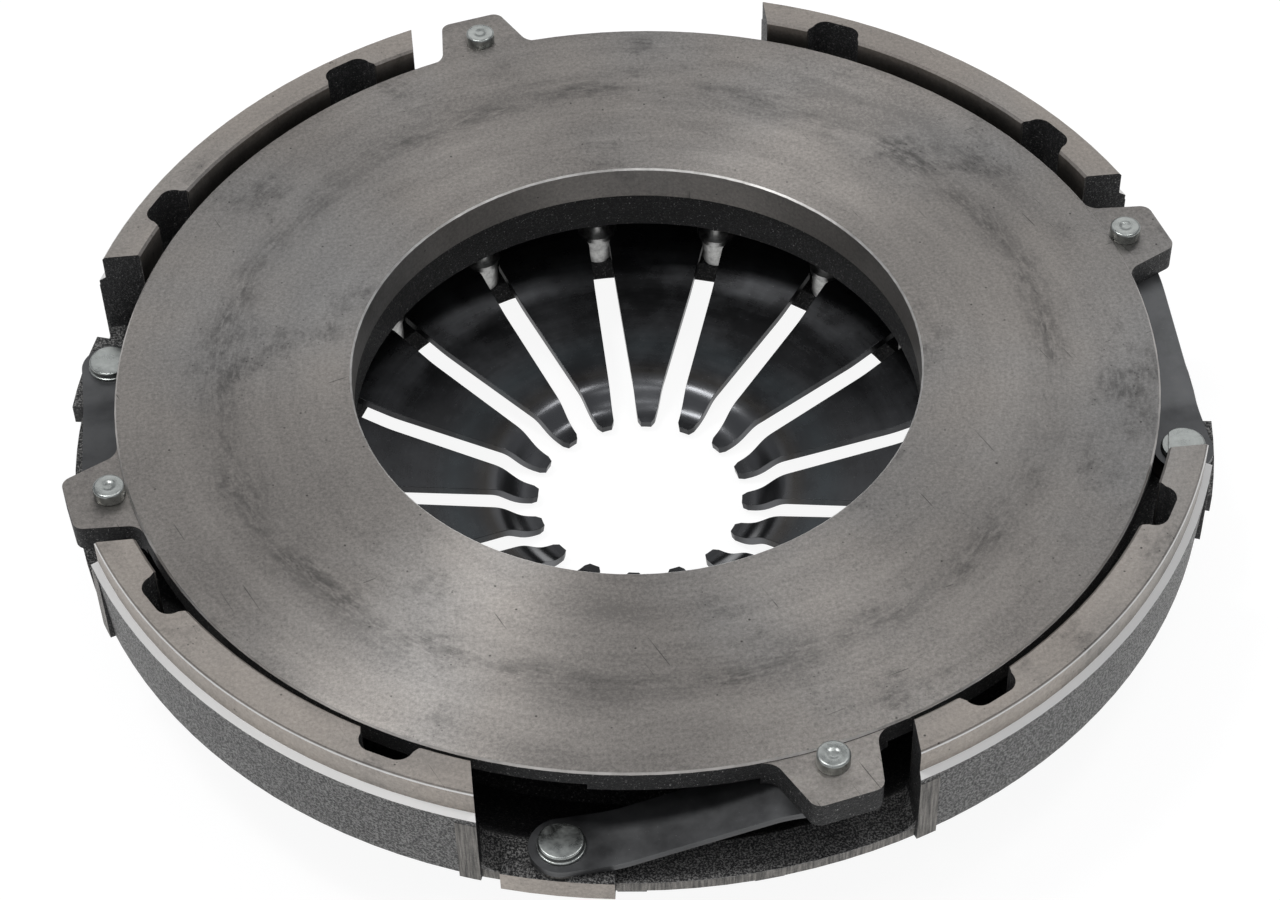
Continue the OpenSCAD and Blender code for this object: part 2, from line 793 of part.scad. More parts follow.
// One leaf of a pack, lying down by the thickness of what is over it
module leaf(corner, layer) {
    drop = layer * (leaf_t + leaf_gap);
    top = [for (s = leaf_stations) [s, strap_z(s) - drop]];
    low = [for (i = [len(top) - 1 : -1 : 0]) [top[i][0], top[i][1] - leaf_t]];
    color("#4b5058")
        rotate(lug_angle + (corner - 1) * corner_step)
            translate(concat(lug_rivet_at, [0]))
                rotate(strap_turn)
                    intersection() {
                        rotate([90, 0, 0])
                            translate([0, 0, -leaf_w / 2 - over])
                                linear_extrude(leaf_w + 2 * over)
                                    polygon(concat(top, low));
                        translate([0, 0, boss_z - over])
                            linear_extrude(lug_top_z - boss_z + 2 * over)
                                difference() {
                                    union() {
                                        translate([0, -leaf_w / 2])
                                            square([strap_span, leaf_w]);
                                        circle(r = leaf_end);
                                        translate([strap_span, 0])
                                            circle(r = leaf_end);
                                    }
                                    circle(d = lug_shank_d + 2 * rivet_play);
                                    translate([strap_span, 0])
                                        circle(d = cover_shank_d + 2 * rivet_play);
                                }
                    }
}

// Half section of a lug rivet, with a dimple in its head
lug_rivet_section = [
    [0, lug_under_z - pack_t - lug_tail_h],
    [lug_tail_d / 2 - tail_bevel, lug_under_z - pack_t - lug_tail_h],
    [lug_tail_d / 2, lug_under_z - pack_t],
    [lug_shank_d / 2, lug_under_z - pack_t],
    [lug_shank_d / 2, lug_top_z],
    [lug_head_d / 2, lug_top_z],
    [lug_head_d / 2, lug_top_z + lug_head_h - head_bevel],
    [lug_head_d / 2 - head_bevel, lug_top_z + lug_head_h],
    [dimple_r, lug_top_z + lug_head_h],
    [0, lug_top_z + lug_head_h - dimple_depth]
];

module lug_rivet(corner) {
    color("#a9aaa6")
        rotate(lug_angle + (corner - 1) * corner_step)
            translate([lug_rivet_r, 0, 0])
                rotate_extrude()
                    polygon(lug_rivet_section);
}

// Half section of a cover rivet, with a rolled edge under its head
cover_rivet_section = [
    [0, -spot_depth - cover_tail_h],
    [cover_tail_d / 2 - tail_bevel, -spot_depth - cover_tail_h],
    [cover_tail_d / 2, -spot_depth],
    [cover_shank_d / 2, -spot_depth],
    [cover_shank_d / 2, strap_low_z],
    [cover_head_d / 2 + rolled_edge, strap_low_z],
    [cover_head_d / 2 + rolled_edge, strap_low_z + rolled_h[0]],
    [cover_head_d / 2, strap_low_z + rolled_h[1]],
    [cover_head_d / 2, strap_low_z + cover_head_h - head_bevel],
    [cover_head_d / 2 - head_bevel, strap_low_z + cover_head_h],
    [0, strap_low_z + cover_head_h]
];

// The head is turned off together with the inside of the rim
module cover_rivet(corner) {
    color("#a9aaa6")
        rotate(cover_rivet_angle + (corner - 1) * corner_step)
            difference() {
                translate([cover_rivet_r, 0, 0])
                    rotate_extrude()
                        polygon(cover_rivet_section);
                translate([0, 0, strap_low_z])
                    cylinder(r = bore_r, h = cover_head_h + over, $fn = 360);
            }
}

cover();
pressure_plate();
diaphragm_spring();
upper_fulcrum_ring();
lower_fulcrum_ring();
pivot_rivets();
leaf(1, 0);  // strap_1_upper_leaf
leaf(1, 1);  // strap_1_lower_leaf
leaf(2, 0);  // strap_2_upper_leaf
leaf(2, 1);  // strap_2_lower_leaf
leaf(3, 0);  // strap_3_upper_leaf
leaf(3, 1);  // strap_3_lower_leaf
leaf(4, 0);  // strap_4_upper_leaf
leaf(4, 1);  // strap_4_lower_leaf
lug_rivet(1);  // lug_rivet_1
lug_rivet(2);  // lug_rivet_2
lug_rivet(3);  // lug_rivet_3
lug_rivet(4);  // lug_rivet_4
cover_rivet(1);  // cover_rivet_1
cover_rivet(2);  // cover_rivet_2
cover_rivet(3);  // cover_rivet_3
cover_rivet(4);  // cover_rivet_4
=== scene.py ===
import logging
import math
from abc import ABC, abstractmethod
from dataclasses import dataclass
from enum import Enum
from typing import Optional, Union

import bmesh
import bpy
import numpy as np
from mathutils import Matrix, Vector


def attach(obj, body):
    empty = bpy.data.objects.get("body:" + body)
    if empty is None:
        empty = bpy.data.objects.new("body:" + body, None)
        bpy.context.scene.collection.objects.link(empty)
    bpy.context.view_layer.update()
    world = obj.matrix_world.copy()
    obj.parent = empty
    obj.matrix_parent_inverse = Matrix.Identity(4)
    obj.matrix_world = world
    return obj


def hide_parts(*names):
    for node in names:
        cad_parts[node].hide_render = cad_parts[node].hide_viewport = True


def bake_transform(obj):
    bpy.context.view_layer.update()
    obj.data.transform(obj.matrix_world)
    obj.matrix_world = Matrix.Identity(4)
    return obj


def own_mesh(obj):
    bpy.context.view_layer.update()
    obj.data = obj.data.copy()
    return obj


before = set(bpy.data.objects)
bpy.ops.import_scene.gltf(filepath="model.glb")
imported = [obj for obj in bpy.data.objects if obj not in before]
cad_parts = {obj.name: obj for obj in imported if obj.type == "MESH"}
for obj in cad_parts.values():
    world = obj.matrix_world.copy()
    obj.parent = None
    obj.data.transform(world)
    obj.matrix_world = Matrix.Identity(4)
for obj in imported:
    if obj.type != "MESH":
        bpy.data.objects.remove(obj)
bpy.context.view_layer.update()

# Lengths are in millimetres and angles in degrees, apart from the lamps, which are in metres.
MM = 0.001
# Heights from the mounting face: the friction face, and the circle that the spring tilts on.
FRICTION_Z = -4.9
PIVOT_Z = -46.0
# Lugs, strap packs and windows come in fours.
CORNERS = 4

Socket = bpy.types.NodeSocket
Colour = tuple[float, float, float]
Place = tuple[float, float, float]
Value = Union[bpy.types.NodeSocket, float]
Shade = Union[bpy.types.NodeSocket, Colour]
Profile = list[tuple[float, float, float]]

logging.basicConfig(level=logging.INFO, format="%(name)s: %(message)s")
log = logging.getLogger("clutch")


class Body(Enum):
    """The two bodies that the slide joint parts."""

    COVER = "cover_body"
    PLATE = "plate_body"


class Leaf(Enum):
    """The two leaves of a strap pack."""

    UPPER = "upper"
    LOWER = "lower"


@dataclass(frozen=True)
class Grain:
    """A noise: its frequency in 1 per unit of the vector, its octaves and their strength."""

    scale: float
    octaves: float = 3.0
    rough: float = 0.5


class Bench:
    """A material's node tree, with short calls for the nodes that the finishes need."""

    def __init__(self, name: str) -> None:
        """Starts an empty material.

        Args:
            name: the material's name.
        """
        self.material = bpy.data.materials.new(name)
        self.material.use_nodes = True
        self.tree = self.material.node_tree
        self.tree.nodes.clear()
        self.out = self.tree.nodes.new("ShaderNodeOutputMaterial")
        self.coords = self.tree.nodes.new("ShaderNodeTexCoord")
        self.object = self.coords.outputs["Object"]
        self.normal = self.coords.outputs["Normal"]

    def link(self, source: object, target: Socket) -> None:
        """Feeds a socket from another socket, or sets it.

        Args:
            source: a socket, or a number, vector or colour.
            target: the socket that takes it.
        """
        if isinstance(source, Socket):
            self.tree.links.new(source, target)
        else:
            target.default_value = source

    def math(self, op: str, a: Value, b: Value = 0.0) -> Socket:
        """One Math node.

        Args:
            op: the node's operation.
            a: first value.
            b: second value.

        Returns:
            The result's socket.
        """
        node = self.tree.nodes.new("ShaderNodeMath")
        node.operation = op
        for value, socket in zip((a, b), node.inputs):
            self.link(value, socket)
        return node.outputs[0]

    def times(self, *factors: Value) -> Value:
        """The product of the factors; of masks, 1 where every one is 1.

        Args:
            factors: masks or numbers.

        Returns:
            The product's socket.
        """
        result = factors[0]
        for factor in factors[1:]:
            result = self.math("MULTIPLY", result, factor)
        return result

    def most(self, *masks: Socket) -> Socket:
        """The maximum of the masks: 1 where some one is 1.

        Args:
            masks: the masks.

        Returns:
            The maximum's socket.
        """
        result = masks[0]
        for mask in masks[1:]:
            result = self.math("MAXIMUM", result, mask)
        return result

    def total(self, *parts: tuple[Value, float]) -> Value:
        """The sum of the parts' values, each times its share.

        Args:
            parts: pairs of a value and its share.

        Returns:
            The sum's socket.
        """
        result: Value = 0.0
        for value, share in parts:
            node = self.tree.nodes.new("ShaderNodeMath")
            node.operation = "MULTIPLY_ADD"
            for source, socket in zip((value, share, result), node.inputs):
                self.link(source, socket)
            result = node.outputs[0]
        return result

    def ramp(
        self, value: Value, low: float, high: float, to_low: float = 0.0, to_high: float = 1.0
    ) -> Socket:
        """A clamped Map Range, straight from to_low at low to to_high at high.

        Args:
            value: what is mapped.
            low: the value that gives to_low.
            high: the value that gives to_high.
            to_low: the result up to low.
            to_high: the result past high.

        Returns:
            The result's socket.
        """
        node = self.tree.nodes.new("ShaderNodeMapRange")
        for source, socket in zip((value, low, high, to_low, to_high), node.inputs):
            self.link(source, socket)
        return node.outputs[0]

    def vector(
        self, op: str, a: object, b: object = (0.0, 0.0, 0.0), scale: float = 1.0
    ) -> Socket:
        """One Vector Math node.

        Args:
            op: the node's operation.
            a: first vector.
            b: second vector.
            scale: the factor of a SCALE operation.

        Returns:
            The number that LENGTH gives, or another operation's vector.
        """
        node = self.tree.nodes.new("ShaderNodeVectorMath")
        node.operation = op
        self.link(a, node.inputs[0])
        self.link(b, node.inputs[1])
        if op == "SCALE":
            node.inputs["Scale"].default_value = scale
        return node.outputs["Value" if op == "LENGTH" else "Vector"]

    def split(self, vector: Socket) -> tuple[Socket, Socket, Socket]:
        """The three parts of a vector.

        Args:
            vector: the vector's socket.

        Returns:
            The sockets of its x, y and z.
        """
        node = self.tree.nodes.new("ShaderNodeSeparateXYZ")
        self.link(vector, node.inputs[0])
        return tuple(node.outputs)

    def join(self, x: Value, y: Value, z: Value) -> Socket:
        """A vector from three parts.

        Args:
            x: first part.
            y: second part.
            z: third part.

        Returns:
            The vector's socket.
        """
        node = self.tree.nodes.new("ShaderNodeCombineXYZ")
        for source, socket in zip((x, y, z), node.inputs):
            self.link(source, socket)
        return node.outputs[0]

    def noise(self, grain: Grain, over: Optional[Socket] = None) -> Socket:
        """A noise pattern.

        Args:
            grain: its frequency and octaves.
            over: the vector that it is read over; without one, the Object coordinates.

        Returns:
            The value's socket, from 0 to 1.
        """
        node = self.tree.nodes.new("ShaderNodeTexNoise")
        self.link(self.object if over is None else over, node.inputs["Vector"])
        node.inputs["Scale"].default_value = grain.scale
        node.inputs["Detail"].default_value = grain.octaves
        node.inputs["Roughness"].default_value = grain.rough
        return node.outputs["Fac"]

    def cells(self, scale: float) -> Socket:
        """A scatter of cells over the Object coordinates.

        Args:
            scale: its frequency, in 1 per metre.

        Returns:
            The socket of the distance to the nearest cell's point.
        """
        node = self.tree.nodes.new("ShaderNodeTexVoronoi")
        self.link(self.object, node.inputs["Vector"])
        node.inputs["Scale"].default_value = scale
        return node.outputs["Distance"]

    def mix(self, factor: Value, a: Shade, b: Shade) -> Socket:
        """A colour between two.

        Args:
            factor: 0 gives a and 1 gives b.
            a: first colour.
            b: second colour.

        Returns:
            The colour's socket.
        """
        node = self.tree.nodes.new("ShaderNodeMix")
        node.data_type = "RGBA"
        self.link(factor, node.inputs[0])
        self.link(rgba(a), node.inputs[6])
        self.link(rgba(b), node.inputs[7])
        return node.outputs[2]

    def blend(self, factor: Socket, a: Value, b: Value) -> Socket:
        """A number between a and b, by the formula b f + a (1 - f)."""
        rest = self.times(a, self.math("SUBTRACT", 1.0, factor))
        return self.math("ADD", self.times(b, factor), rest)

    def bump(self, height: Socket, depth_mm: float, strength: float = 1.0) -> Socket:
        """A Bump node.

        Args:
            height: a height from 0 to 1.
            depth_mm: how deep the full height is.
            strength: the node's strength.

        Returns:
            The normal's socket.
        """
        node = self.tree.nodes.new("ShaderNodeBump")
        node.inputs["Strength"].default_value = strength
        node.inputs["Distance"].default_value = depth_mm * MM
        self.link(height, node.inputs["Height"])
        return node.outputs[0]

    def finish(
        self,
        colour: Shade,
        metallic: Value,
        roughness: Value,
        normal: Socket,
        anisotropy: float = 0.0,
    ) -> bpy.types.Material:
        """Ends the tree in a Principled shader.

        Args:
            colour: base colour.
            metallic: how far it is bare metal.
            roughness: its roughness.
            normal: a bump's normal.
            anisotropy: how far highlights stretch across turning marks about the Z axis.

        Returns:
            The material.
        """
        shader = self.tree.nodes.new("ShaderNodeBsdfPrincipled")
        self.link(rgba(colour), shader.inputs["Base Color"])
        self.link(metallic, shader.inputs["Metallic"])
        self.link(roughness, shader.inputs["Roughness"])
        self.link(normal, shader.inputs["Normal"])
        if anisotropy:
            tangent = self.tree.nodes.new("ShaderNodeTangent")
            tangent.direction_type = "RADIAL"
            tangent.axis = "Z"
            shader.inputs["Anisotropic"].default_value = anisotropy
            shader.inputs["Anisotropic Rotation"].default_value = 0.25
            self.link(tangent.outputs[0], shader.inputs["Tangent"])
        self.link(shader.outputs[0], self.out.inputs[0])
        return self.material


def rgba(colour: Shade) -> object:
    """A colour triple with its alpha, or the socket as it came."""
    return (*colour, 1.0) if isinstance(colour, tuple) else colour


@dataclass(frozen=True)
class Polar:
    """Coordinates about the clutch axis, in millimetres, and masks over them."""

    bench: Bench
    x: Socket
    y: Socket
    z: Socket
    r: Socket
    up: Socket
    out: Socket
    rings: Socket

    @classmethod
    def on(cls, bench: Bench) -> "Polar":
        """Works out radius, height, and how far the surface faces up and outwards.

        Args:
            bench: the material being made.

        Returns:
            The coordinates. rings is the vector (6 x / r, 6 y / r, r), which changes fast along
            the radius and slowly round the axis.
        """
        x, y, z = bench.split(bench.vector("SCALE", bench.object, scale=1 / MM))
        r = bench.vector("LENGTH", bench.join(x, y, 0.0))
        ux = bench.math("DIVIDE", x, r)
        uy = bench.math("DIVIDE", y, r)
        nx, ny, nz = bench.split(bench.normal)
        out = bench.math("ADD", bench.times(nx, ux), bench.times(ny, uy))
        rings = bench.join(bench.times(ux, 6.0), bench.times(uy, 6.0), r)
        return cls(bench, x, y, z, r, nz, out, rings)

    def over(self, value: Socket, edge: float, soft: float = 0.08) -> Socket:
        """1 where value is above edge."""
        return self.bench.ramp(value, edge - soft, edge + soft)

    def below(self, value: Socket, edge: float, soft: float = 0.08) -> Socket:
        """1 where value is below edge."""
        return self.bench.ramp(value, edge - soft, edge + soft, 1.0, 0.0)

    def between(self, value: Socket, low: float, high: float) -> Socket:
        """1 where value is between low and high."""
        return self.bench.times(self.over(value, low), self.below(value, high))

    def near(
        self, value: Socket, middle: float, full: float, none: float, most: float = 1.0
    ) -> Socket:
        """The value most where value is within full of middle, falling to 0 at none."""
        off = self.bench.math("ABSOLUTE", self.bench.math("SUBTRACT", value, middle))
        return self.bench.ramp(off, full, none, most, 0.0)

    def dragged(self, along: float, across: float) -> Socket:
        """A vector (x along, y along, r across), which draws a pattern out round the axis."""
        parts = ((self.x, along), (self.y, along), (self.r, across))
        return self.bench.join(*(self.bench.times(value, share) for value, share in parts))


@dataclass(frozen=True)
class RoughCasting:
    """Sand-cast iron skin: near black, with fine grain, pale flecks and painted glints."""

    dark: Colour = (0.012, 0.012, 0.013)
    fleck: Colour = (0.12, 0.118, 0.115)
    painted_glint: Colour = (0.55, 0.54, 0.52)
    grain_mm: float = 0.8
    lump_mm: float = 8.3
    glint_mm: float = 0.53

    def layers(self, bench: Bench) -> tuple[Socket, Socket, Socket]:
        """Colour, roughness and height of the skin.

        Args:
            bench: the material being made.

        Returns:
            Sockets for the colour, the roughness and a height from 0 to 1.
        """
        fine = bench.noise(Grain(1 / (self.grain_mm * MM), 4.0, 0.75))
        coarse = bench.noise(Grain(1 / (self.lump_mm * MM), 4.0, 0.6))
        sparks = bench.noise(Grain(1 / (self.glint_mm * MM), 1.0))
        spots = bench.ramp(fine, 0.52, 0.62)
        lift = bench.times(spots, bench.ramp(coarse, 0.3, 0.7, 0.3, 1.0))
        colour = bench.mix(lift, self.dark, self.fleck)
        # Painted highlights: sparse pale glints in the colour stand in for light sparkling on the
        # grains.
        painted_glints = bench.times(bench.ramp(sparks, 0.63, 0.69), spots)
        colour = bench.mix(painted_glints, colour, self.painted_glint)
        height = bench.total((fine, 1.0), (coarse, 0.6))
        return colour, bench.ramp(fine, 0.35, 0.7, 0.62, 0.36), height


@dataclass(frozen=True)
class TurnedIron:
    """Bare machined iron: marks round the axis, soft stains, speckled smudges and scratches."""

    light: Colour
    dark: Colour
    cool: Colour = (0.955, 1.0, 1.045)
    smudge: Colour = (0.075, 0.073, 0.071)
    cut: Colour = (0.05, 0.049, 0.047)
    pit: Colour = (0.03, 0.029, 0.027)
    roughness: float = 0.42
    stain: Grain = Grain(11.0, 4.0)
    rings: Grain = Grain(0.1, 6.0, 0.62)
    smear: Grain = Grain(1.0, 8.0, 0.68)
    grain: Grain = Grain(800.0, 5.0, 0.8)
    hairs: Grain = Grain(1.1, 3.0, 0.6)
    tint: Grain = Grain(8.0)
    speckle: Grain = Grain(1.0, 6.0, 0.8)
    blot: Grain = Grain(17.0, 9.0, 0.74)
    scratch: Grain = Grain(1.2, 1.0)
    smear_pull: tuple[float, float] = (0.02, 0.09)
    speckle_pull: tuple[float, float] = (0.12, 0.42)
    scratch_pull: float = 0.03
    scratch_ways: tuple[tuple[float, float], ...] = ((0.94, 0.34), (0.42, -0.91))
    pits: float = 150.0
    dots: float = 340.0
    smudge_share: float = 0.6
    pit_share: float = 0.8

    def layers(self, polar: Polar) -> tuple[Socket, Socket, Socket, Socket]:
        """Colour, roughness, height and speckle of the turned surface.

        Args:
            polar: coordinates about the axis.

        Returns:
            Sockets for the colour, the roughness, a height from 0 to 1 and a fine speckle dragged
            round the axis.
        """
        bench = polar.bench
        stain = bench.noise(self.stain)
        rings = bench.noise(self.rings, polar.rings)
        smear = bench.noise(self.smear, polar.dragged(*self.smear_pull))
        grain = bench.noise(self.grain)
        hairs = bench.noise(self.hairs, polar.rings)
        shares = ((stain, 0.42), (rings, 0.16), (smear, 0.5), (grain, 0.9), (hairs, 0.1))
        middle = 0.05 + 0.5 * sum(share for _, share in shares)
        shade = bench.ramp(bench.total(*shares), middle - 0.22, middle + 0.2)
        colour = bench.mix(shade, self.dark, self.light)
        tint = bench.ramp(bench.noise(self.tint), 0.48, 0.66, 0.0, 0.9)
        colour = bench.mix(tint, colour, bench.vector("MULTIPLY", colour, self.cool))

        speckle = bench.noise(self.speckle, polar.dragged(*self.speckle_pull))
        speckle = bench.ramp(speckle, 0.42, 0.56, 0.2, 1.0)
        blot = bench.noise(self.blot)
        blots = bench.times(bench.ramp(blot, 0.55, 0.64), speckle, self.smudge_share)
        colour = bench.mix(blots, colour, self.smudge)
        colour = self.scratched(polar, colour)

        pits = bench.ramp(bench.cells(self.pits), 0.075, 0.04)
        pits = bench.times(pits, bench.ramp(smear, 0.45, 0.53))
        dots = bench.ramp(bench.cells(self.dots), 0.12, 0.07)
        dots = bench.times(dots, bench.ramp(blot, 0.5, 0.6, 0.1, 0.9))
        colour = bench.mix(bench.times(bench.most(pits, dots), self.pit_share), colour, self.pit)
        rough = bench.ramp(smear, 0.32, 0.68, self.roughness - 0.05, self.roughness + 0.07)
        return colour, rough, bench.total((hairs, 0.5), (grain, 0.5)), speckle

    def scratched(self, polar: Polar, colour: Socket) -> Socket:
        """Short straight scratches: crests of a noise drawn out along a line, in patches.

        Args:
            polar: coordinates about the axis.
            colour: the surface's colour.

        Returns:
            The colour with the scratches.
        """
        bench = polar.bench
        for cosine, sine in self.scratch_ways:
            pull = self.scratch_pull
            along = bench.total((polar.x, pull * cosine), (polar.y, pull * sine))
            across = bench.total((polar.y, cosine), (polar.x, -sine))
            line = bench.noise(self.scratch, bench.join(along, across, cosine))
            patch = bench.noise(Grain(60.0 * cosine + 20.0, 2.0))
            crest = bench.ramp(line, 0.74, 0.78, 0.0, 0.7)
            scratch = bench.times(crest, bench.ramp(patch, 0.58, 0.62))
            colour = bench.mix(scratch, colour, self.cut)
        return colour


@dataclass(frozen=True)
class PlainSteel:
    """A steel surface with soft mottling, for straps, wire and rivets."""

    light: Colour
    dark: Colour
    roughness: float
    metallic: float = 1.0
    mottle_mm: float = 9.0
    bump_mm: float = 0.015
    speck: Grain = Grain(1400.0, 3.0, 0.6)

    def material(self, name: str) -> bpy.types.Material:
        """The finished material.

        Args:
            name: its name.

        Returns:
            The material.
        """
        bench = Bench(name)
        broad = bench.noise(Grain(1 / (self.mottle_mm * MM), 5.0, 0.6))
        fine = bench.noise(self.speck)
        pale = tuple(min(1.0, part * 2.2 + 0.03) for part in self.light)
        colour = bench.mix(bench.ramp(broad, 0.32, 0.7), self.dark, self.light)
        colour = bench.mix(bench.times(bench.ramp(fine, 0.66, 0.74), 0.25), colour, pale)
        rough = bench.ramp(broad, 0.3, 0.72, self.roughness - 0.07, self.roughness + 0.08)
        return bench.finish(colour, self.metallic, rough, bench.bump(fine, self.bump_mm))


@dataclass(frozen=True)
class HardenedSpring:
    """Oil-black spring steel: rings of temper colours outside the step, and rub marks."""

    black: Colour = (0.030, 0.0305, 0.032)
    worn: Colour = (0.066, 0.068, 0.072)
    temper: Colour = (0.052, 0.066, 0.072)
    straw: Colour = (0.085, 0.070, 0.050)
    step_highlight: Colour = (0.13, 0.133, 0.14)
    speck: Colour = (0.16, 0.16, 0.16)
    temper_r: float = 66.0
    straw_r: float = 55.0
    step_r: float = 47.0
    roughness: float = 0.27
    metallic: float = 0.9
    broad: Grain = Grain(38.0, 6.0, 0.62)
    rub: Grain = Grain(0.45, 5.0, 0.65)
    fine: Grain = Grain(1300.0, 3.0, 0.65)
    bump_mm: float = 0.008

    def material(self, name: str) -> bpy.types.Material:
        """The finished material.

        Args:
            name: its name.

        Returns:
            The material.
        """
        bench = Bench(name)
        polar = Polar.on(bench)
        broad = bench.noise(self.broad)
        fine = bench.noise(self.fine)
        shade = bench.total((broad, 0.8), (bench.noise(self.rub, polar.rings), 0.2))
        colour = bench.mix(bench.ramp(shade, 0.42, 0.66), self.black, self.worn)
        temper = polar.near(polar.r, self.temper_r, 0.0, 9.0, 0.8)
        colour = bench.mix(bench.times(temper, broad), colour, self.temper)
        straw = polar.near(polar.r, self.straw_r, 0.0, 5.0, 0.45)
        colour = bench.mix(bench.times(straw, broad), colour, self.straw)
        # The step band: a little lower roughness, and a painted highlight in its paler colour.
        step = polar.near(polar.r, self.step_r, 2.0, 8.0)
        colour = bench.mix(bench.times(step, 0.8), colour, self.step_highlight)
        colour = bench.mix(bench.ramp(fine, 0.66, 0.72, 0.0, 0.5), colour, self.speck)
        rough = bench.ramp(shade, 0.38, 0.66, self.roughness - 0.04, self.roughness + 0.09)
        rough = bench.total((step, -0.05), (rough, 1.0))
        return bench.finish(colour, self.metallic, rough, bench.bump(fine, self.bump_mm))


@dataclass(frozen=True)
class PivotSteel:
    """The pivot rivets: bright turned collars and necks; heads painted near black as shade."""

    bright: Colour = (0.50, 0.50, 0.49)
    dull: Colour = (0.25, 0.25, 0.245)
    black: Colour = (0.035, 0.035, 0.036)
    head_z: float = -45.0
    roughness: float = 0.4
    mottle: Grain = Grain(400.0, 5.0, 0.7)
    bump_mm: float = 0.03

    def material(self, name: str) -> bpy.types.Material:
        """The finished material.

        Args:
            name: its name.

        Returns:
            The material.
        """
        bench = Bench(name)
        polar = Polar.on(bench)
        mottle = bench.noise(self.mottle)
        bare = bench.mix(bench.ramp(mottle, 0.35, 0.6), self.dull, self.bright)
        # Painted shade: above head_z, under the plate, the rivets are painted near black.
        colour = bench.mix(polar.over(polar.z, self.head_z, 0.6), bare, self.black)
        rough = bench.ramp(mottle, 0.3, 0.7, self.roughness - 0.06, self.roughness + 0.1)
        return bench.finish(colour, 1.0, rough, bench.bump(mottle, self.bump_mm))


STRAP_STEEL = PlainSteel((0.125, 0.127, 0.13), (0.07, 0.071, 0.073), 0.4, 0.85, 14.0, 0.012)
RING_WIRE = PlainSteel((0.16, 0.16, 0.165), (0.08, 0.08, 0.085), 0.4)
ZINC = PlainSteel((0.50, 0.52, 0.50), (0.29, 0.305, 0.295), 0.3, 1.0, 3.5, 0.03)
COVER_SKIN = RoughCasting()
COVER_FACE = TurnedIron((0.475, 0.43, 0.388), (0.273, 0.25, 0.228), roughness=0.44)
PLATE_SKIN = RoughCasting((0.006, 0.006, 0.0065), (0.05, 0.049, 0.048))
PLATE_FACE = TurnedIron((0.435, 0.405, 0.376), (0.208, 0.195, 0.183))


def sheet(name: str, points: np.ndarray, quads: np.ndarray) -> bpy.types.Object:
    """A single-sided sheet whose faces are turned upwards, with doubled points merged.

    Args:
        name: the object's name.
        points: array of shape (..., 3), in millimetres.
        quads: array of shape (n, 4) of point numbers, all turned the same way.

    Returns:
        The object, smooth shaded.
    """
    mesh = bpy.data.meshes.new(name)
    mesh.from_pydata((points.reshape(-1, 3) * MM).tolist(), [], quads.tolist())
    mesh.validate()
    item = bpy.data.objects.new(name, mesh)
    bpy.context.scene.collection.objects.link(item)
    merge(item)
    normals = np.empty(3 * len(mesh.polygons))
    mesh.polygons.foreach_get("normal", normals)
    if normals[2::3].mean() < 0:
        mesh.flip_normals()
    return item


def grid(rows: int, cols: int, wrap: bool = False) -> np.ndarray:
    """Faces of a grid: point (i, j) joins (i, j+1), (i+1, j+1) and (i+1, j).

    Args:
        rows: points along.
        cols: points across.
        wrap: whether the last column joins the first.

    Returns:
        Array of shape (n, 4) of point numbers.
    """
    index = np.arange(rows * cols).reshape(rows, cols)
    left = index if wrap else index[:, :-1]
    right = np.roll(index, -1, axis=1) if wrap else index[:, 1:]
    return np.stack([left[:-1], right[:-1], right[1:], left[1:]], axis=-1).reshape(-1, 4)


def shell(name: str, points: np.ndarray) -> bpy.types.Object:
    """A closed turned shell from pole to pole, with its faces outwards.

    Args:
        name: the object's name.
        points: array of shape (profile points, steps round, 3), in millimetres.

    Returns:
        The object, smooth shaded.
    """
    item = sheet(name, points, grid(*points.shape[:2], wrap=True))
    work = bmesh.new()
    work.from_mesh(item.data)
    bmesh.ops.recalc_face_normals(work, faces=work.faces)
    work.to_mesh(item.data)
    work.free()
    return item


def merge(item: bpy.types.Object, reach: float = 2e-6, thin: float = 1e-7) -> None:
    """Merges doubled points, drops faces that collapsed and shades the rest smooth.

    Args:
        item: the object.
        reach: the distance under which points are one, in metres.
        thin: the length under which an edge is dissolved, in metres.
    """
    work = bmesh.new()
    work.from_mesh(item.data)
    bmesh.ops.remove_doubles(work, verts=work.verts, dist=reach)
    bmesh.ops.dissolve_degenerate(work, edges=work.edges, dist=thin)
    work.to_mesh(item.data)
    work.free()
    item.data.polygons.foreach_set("use_smooth", np.ones(len(item.data.polygons), bool))


def revolve(profile: np.ndarray, centre: tuple[float, float], steps: int = 72) -> np.ndarray:
    """Points of a profile turned about an upright line.

    Args:
        profile: array of (radius, height), from pole to pole.
        centre: where the line stands, in x and y.
        steps: points round.

    Returns:
        Array (profile points, steps, 3): x = cx + r cos t, y = cy + r sin t, z = height.
    """
    t = np.linspace(0, 2 * math.pi, steps, endpoint=False)
    r, z = profile[:, :1], profile[:, 1:]
    return np.stack([centre[0] + r * np.cos(t), centre[1] + r * np.sin(t), z + 0 * t], axis=-1)


def rounded(corners: Profile, steps: int = 5, most: float = 0.48) -> np.ndarray:
    """A line with each corner rounded.

    Args:
        corners: (x, y, radius) of each corner; a short side cuts the radius down.
        steps: points of each rounding.
        most: the largest share of a side that a rounding takes.

    Returns:
        Points where a corner is replaced by the curve (1-t)^2 A + 2t(1-t) B + t^2 C between the
        two points A and C that lie one radius from the corner B on its sides.
    """
    p = np.array([c[:2] for c in corners], float)
    line = [p[0]]
    for i in range(1, len(p) - 1):
        before, after = p[i - 1] - p[i], p[i + 1] - p[i]
        to_before, to_after = np.linalg.norm(before), np.linalg.norm(after)
        reach = min(corners[i][2], most * to_before, most * to_after)
        a = p[i] + before / to_before * reach
        c = p[i] + after / to_after * reach
        t = np.linspace(0, 1, steps)[:, None]
        line.extend((1 - t) ** 2 * a + 2 * t * (1 - t) * p[i] + t**2 * c)
    line.append(p[-1])
    return np.array(line)


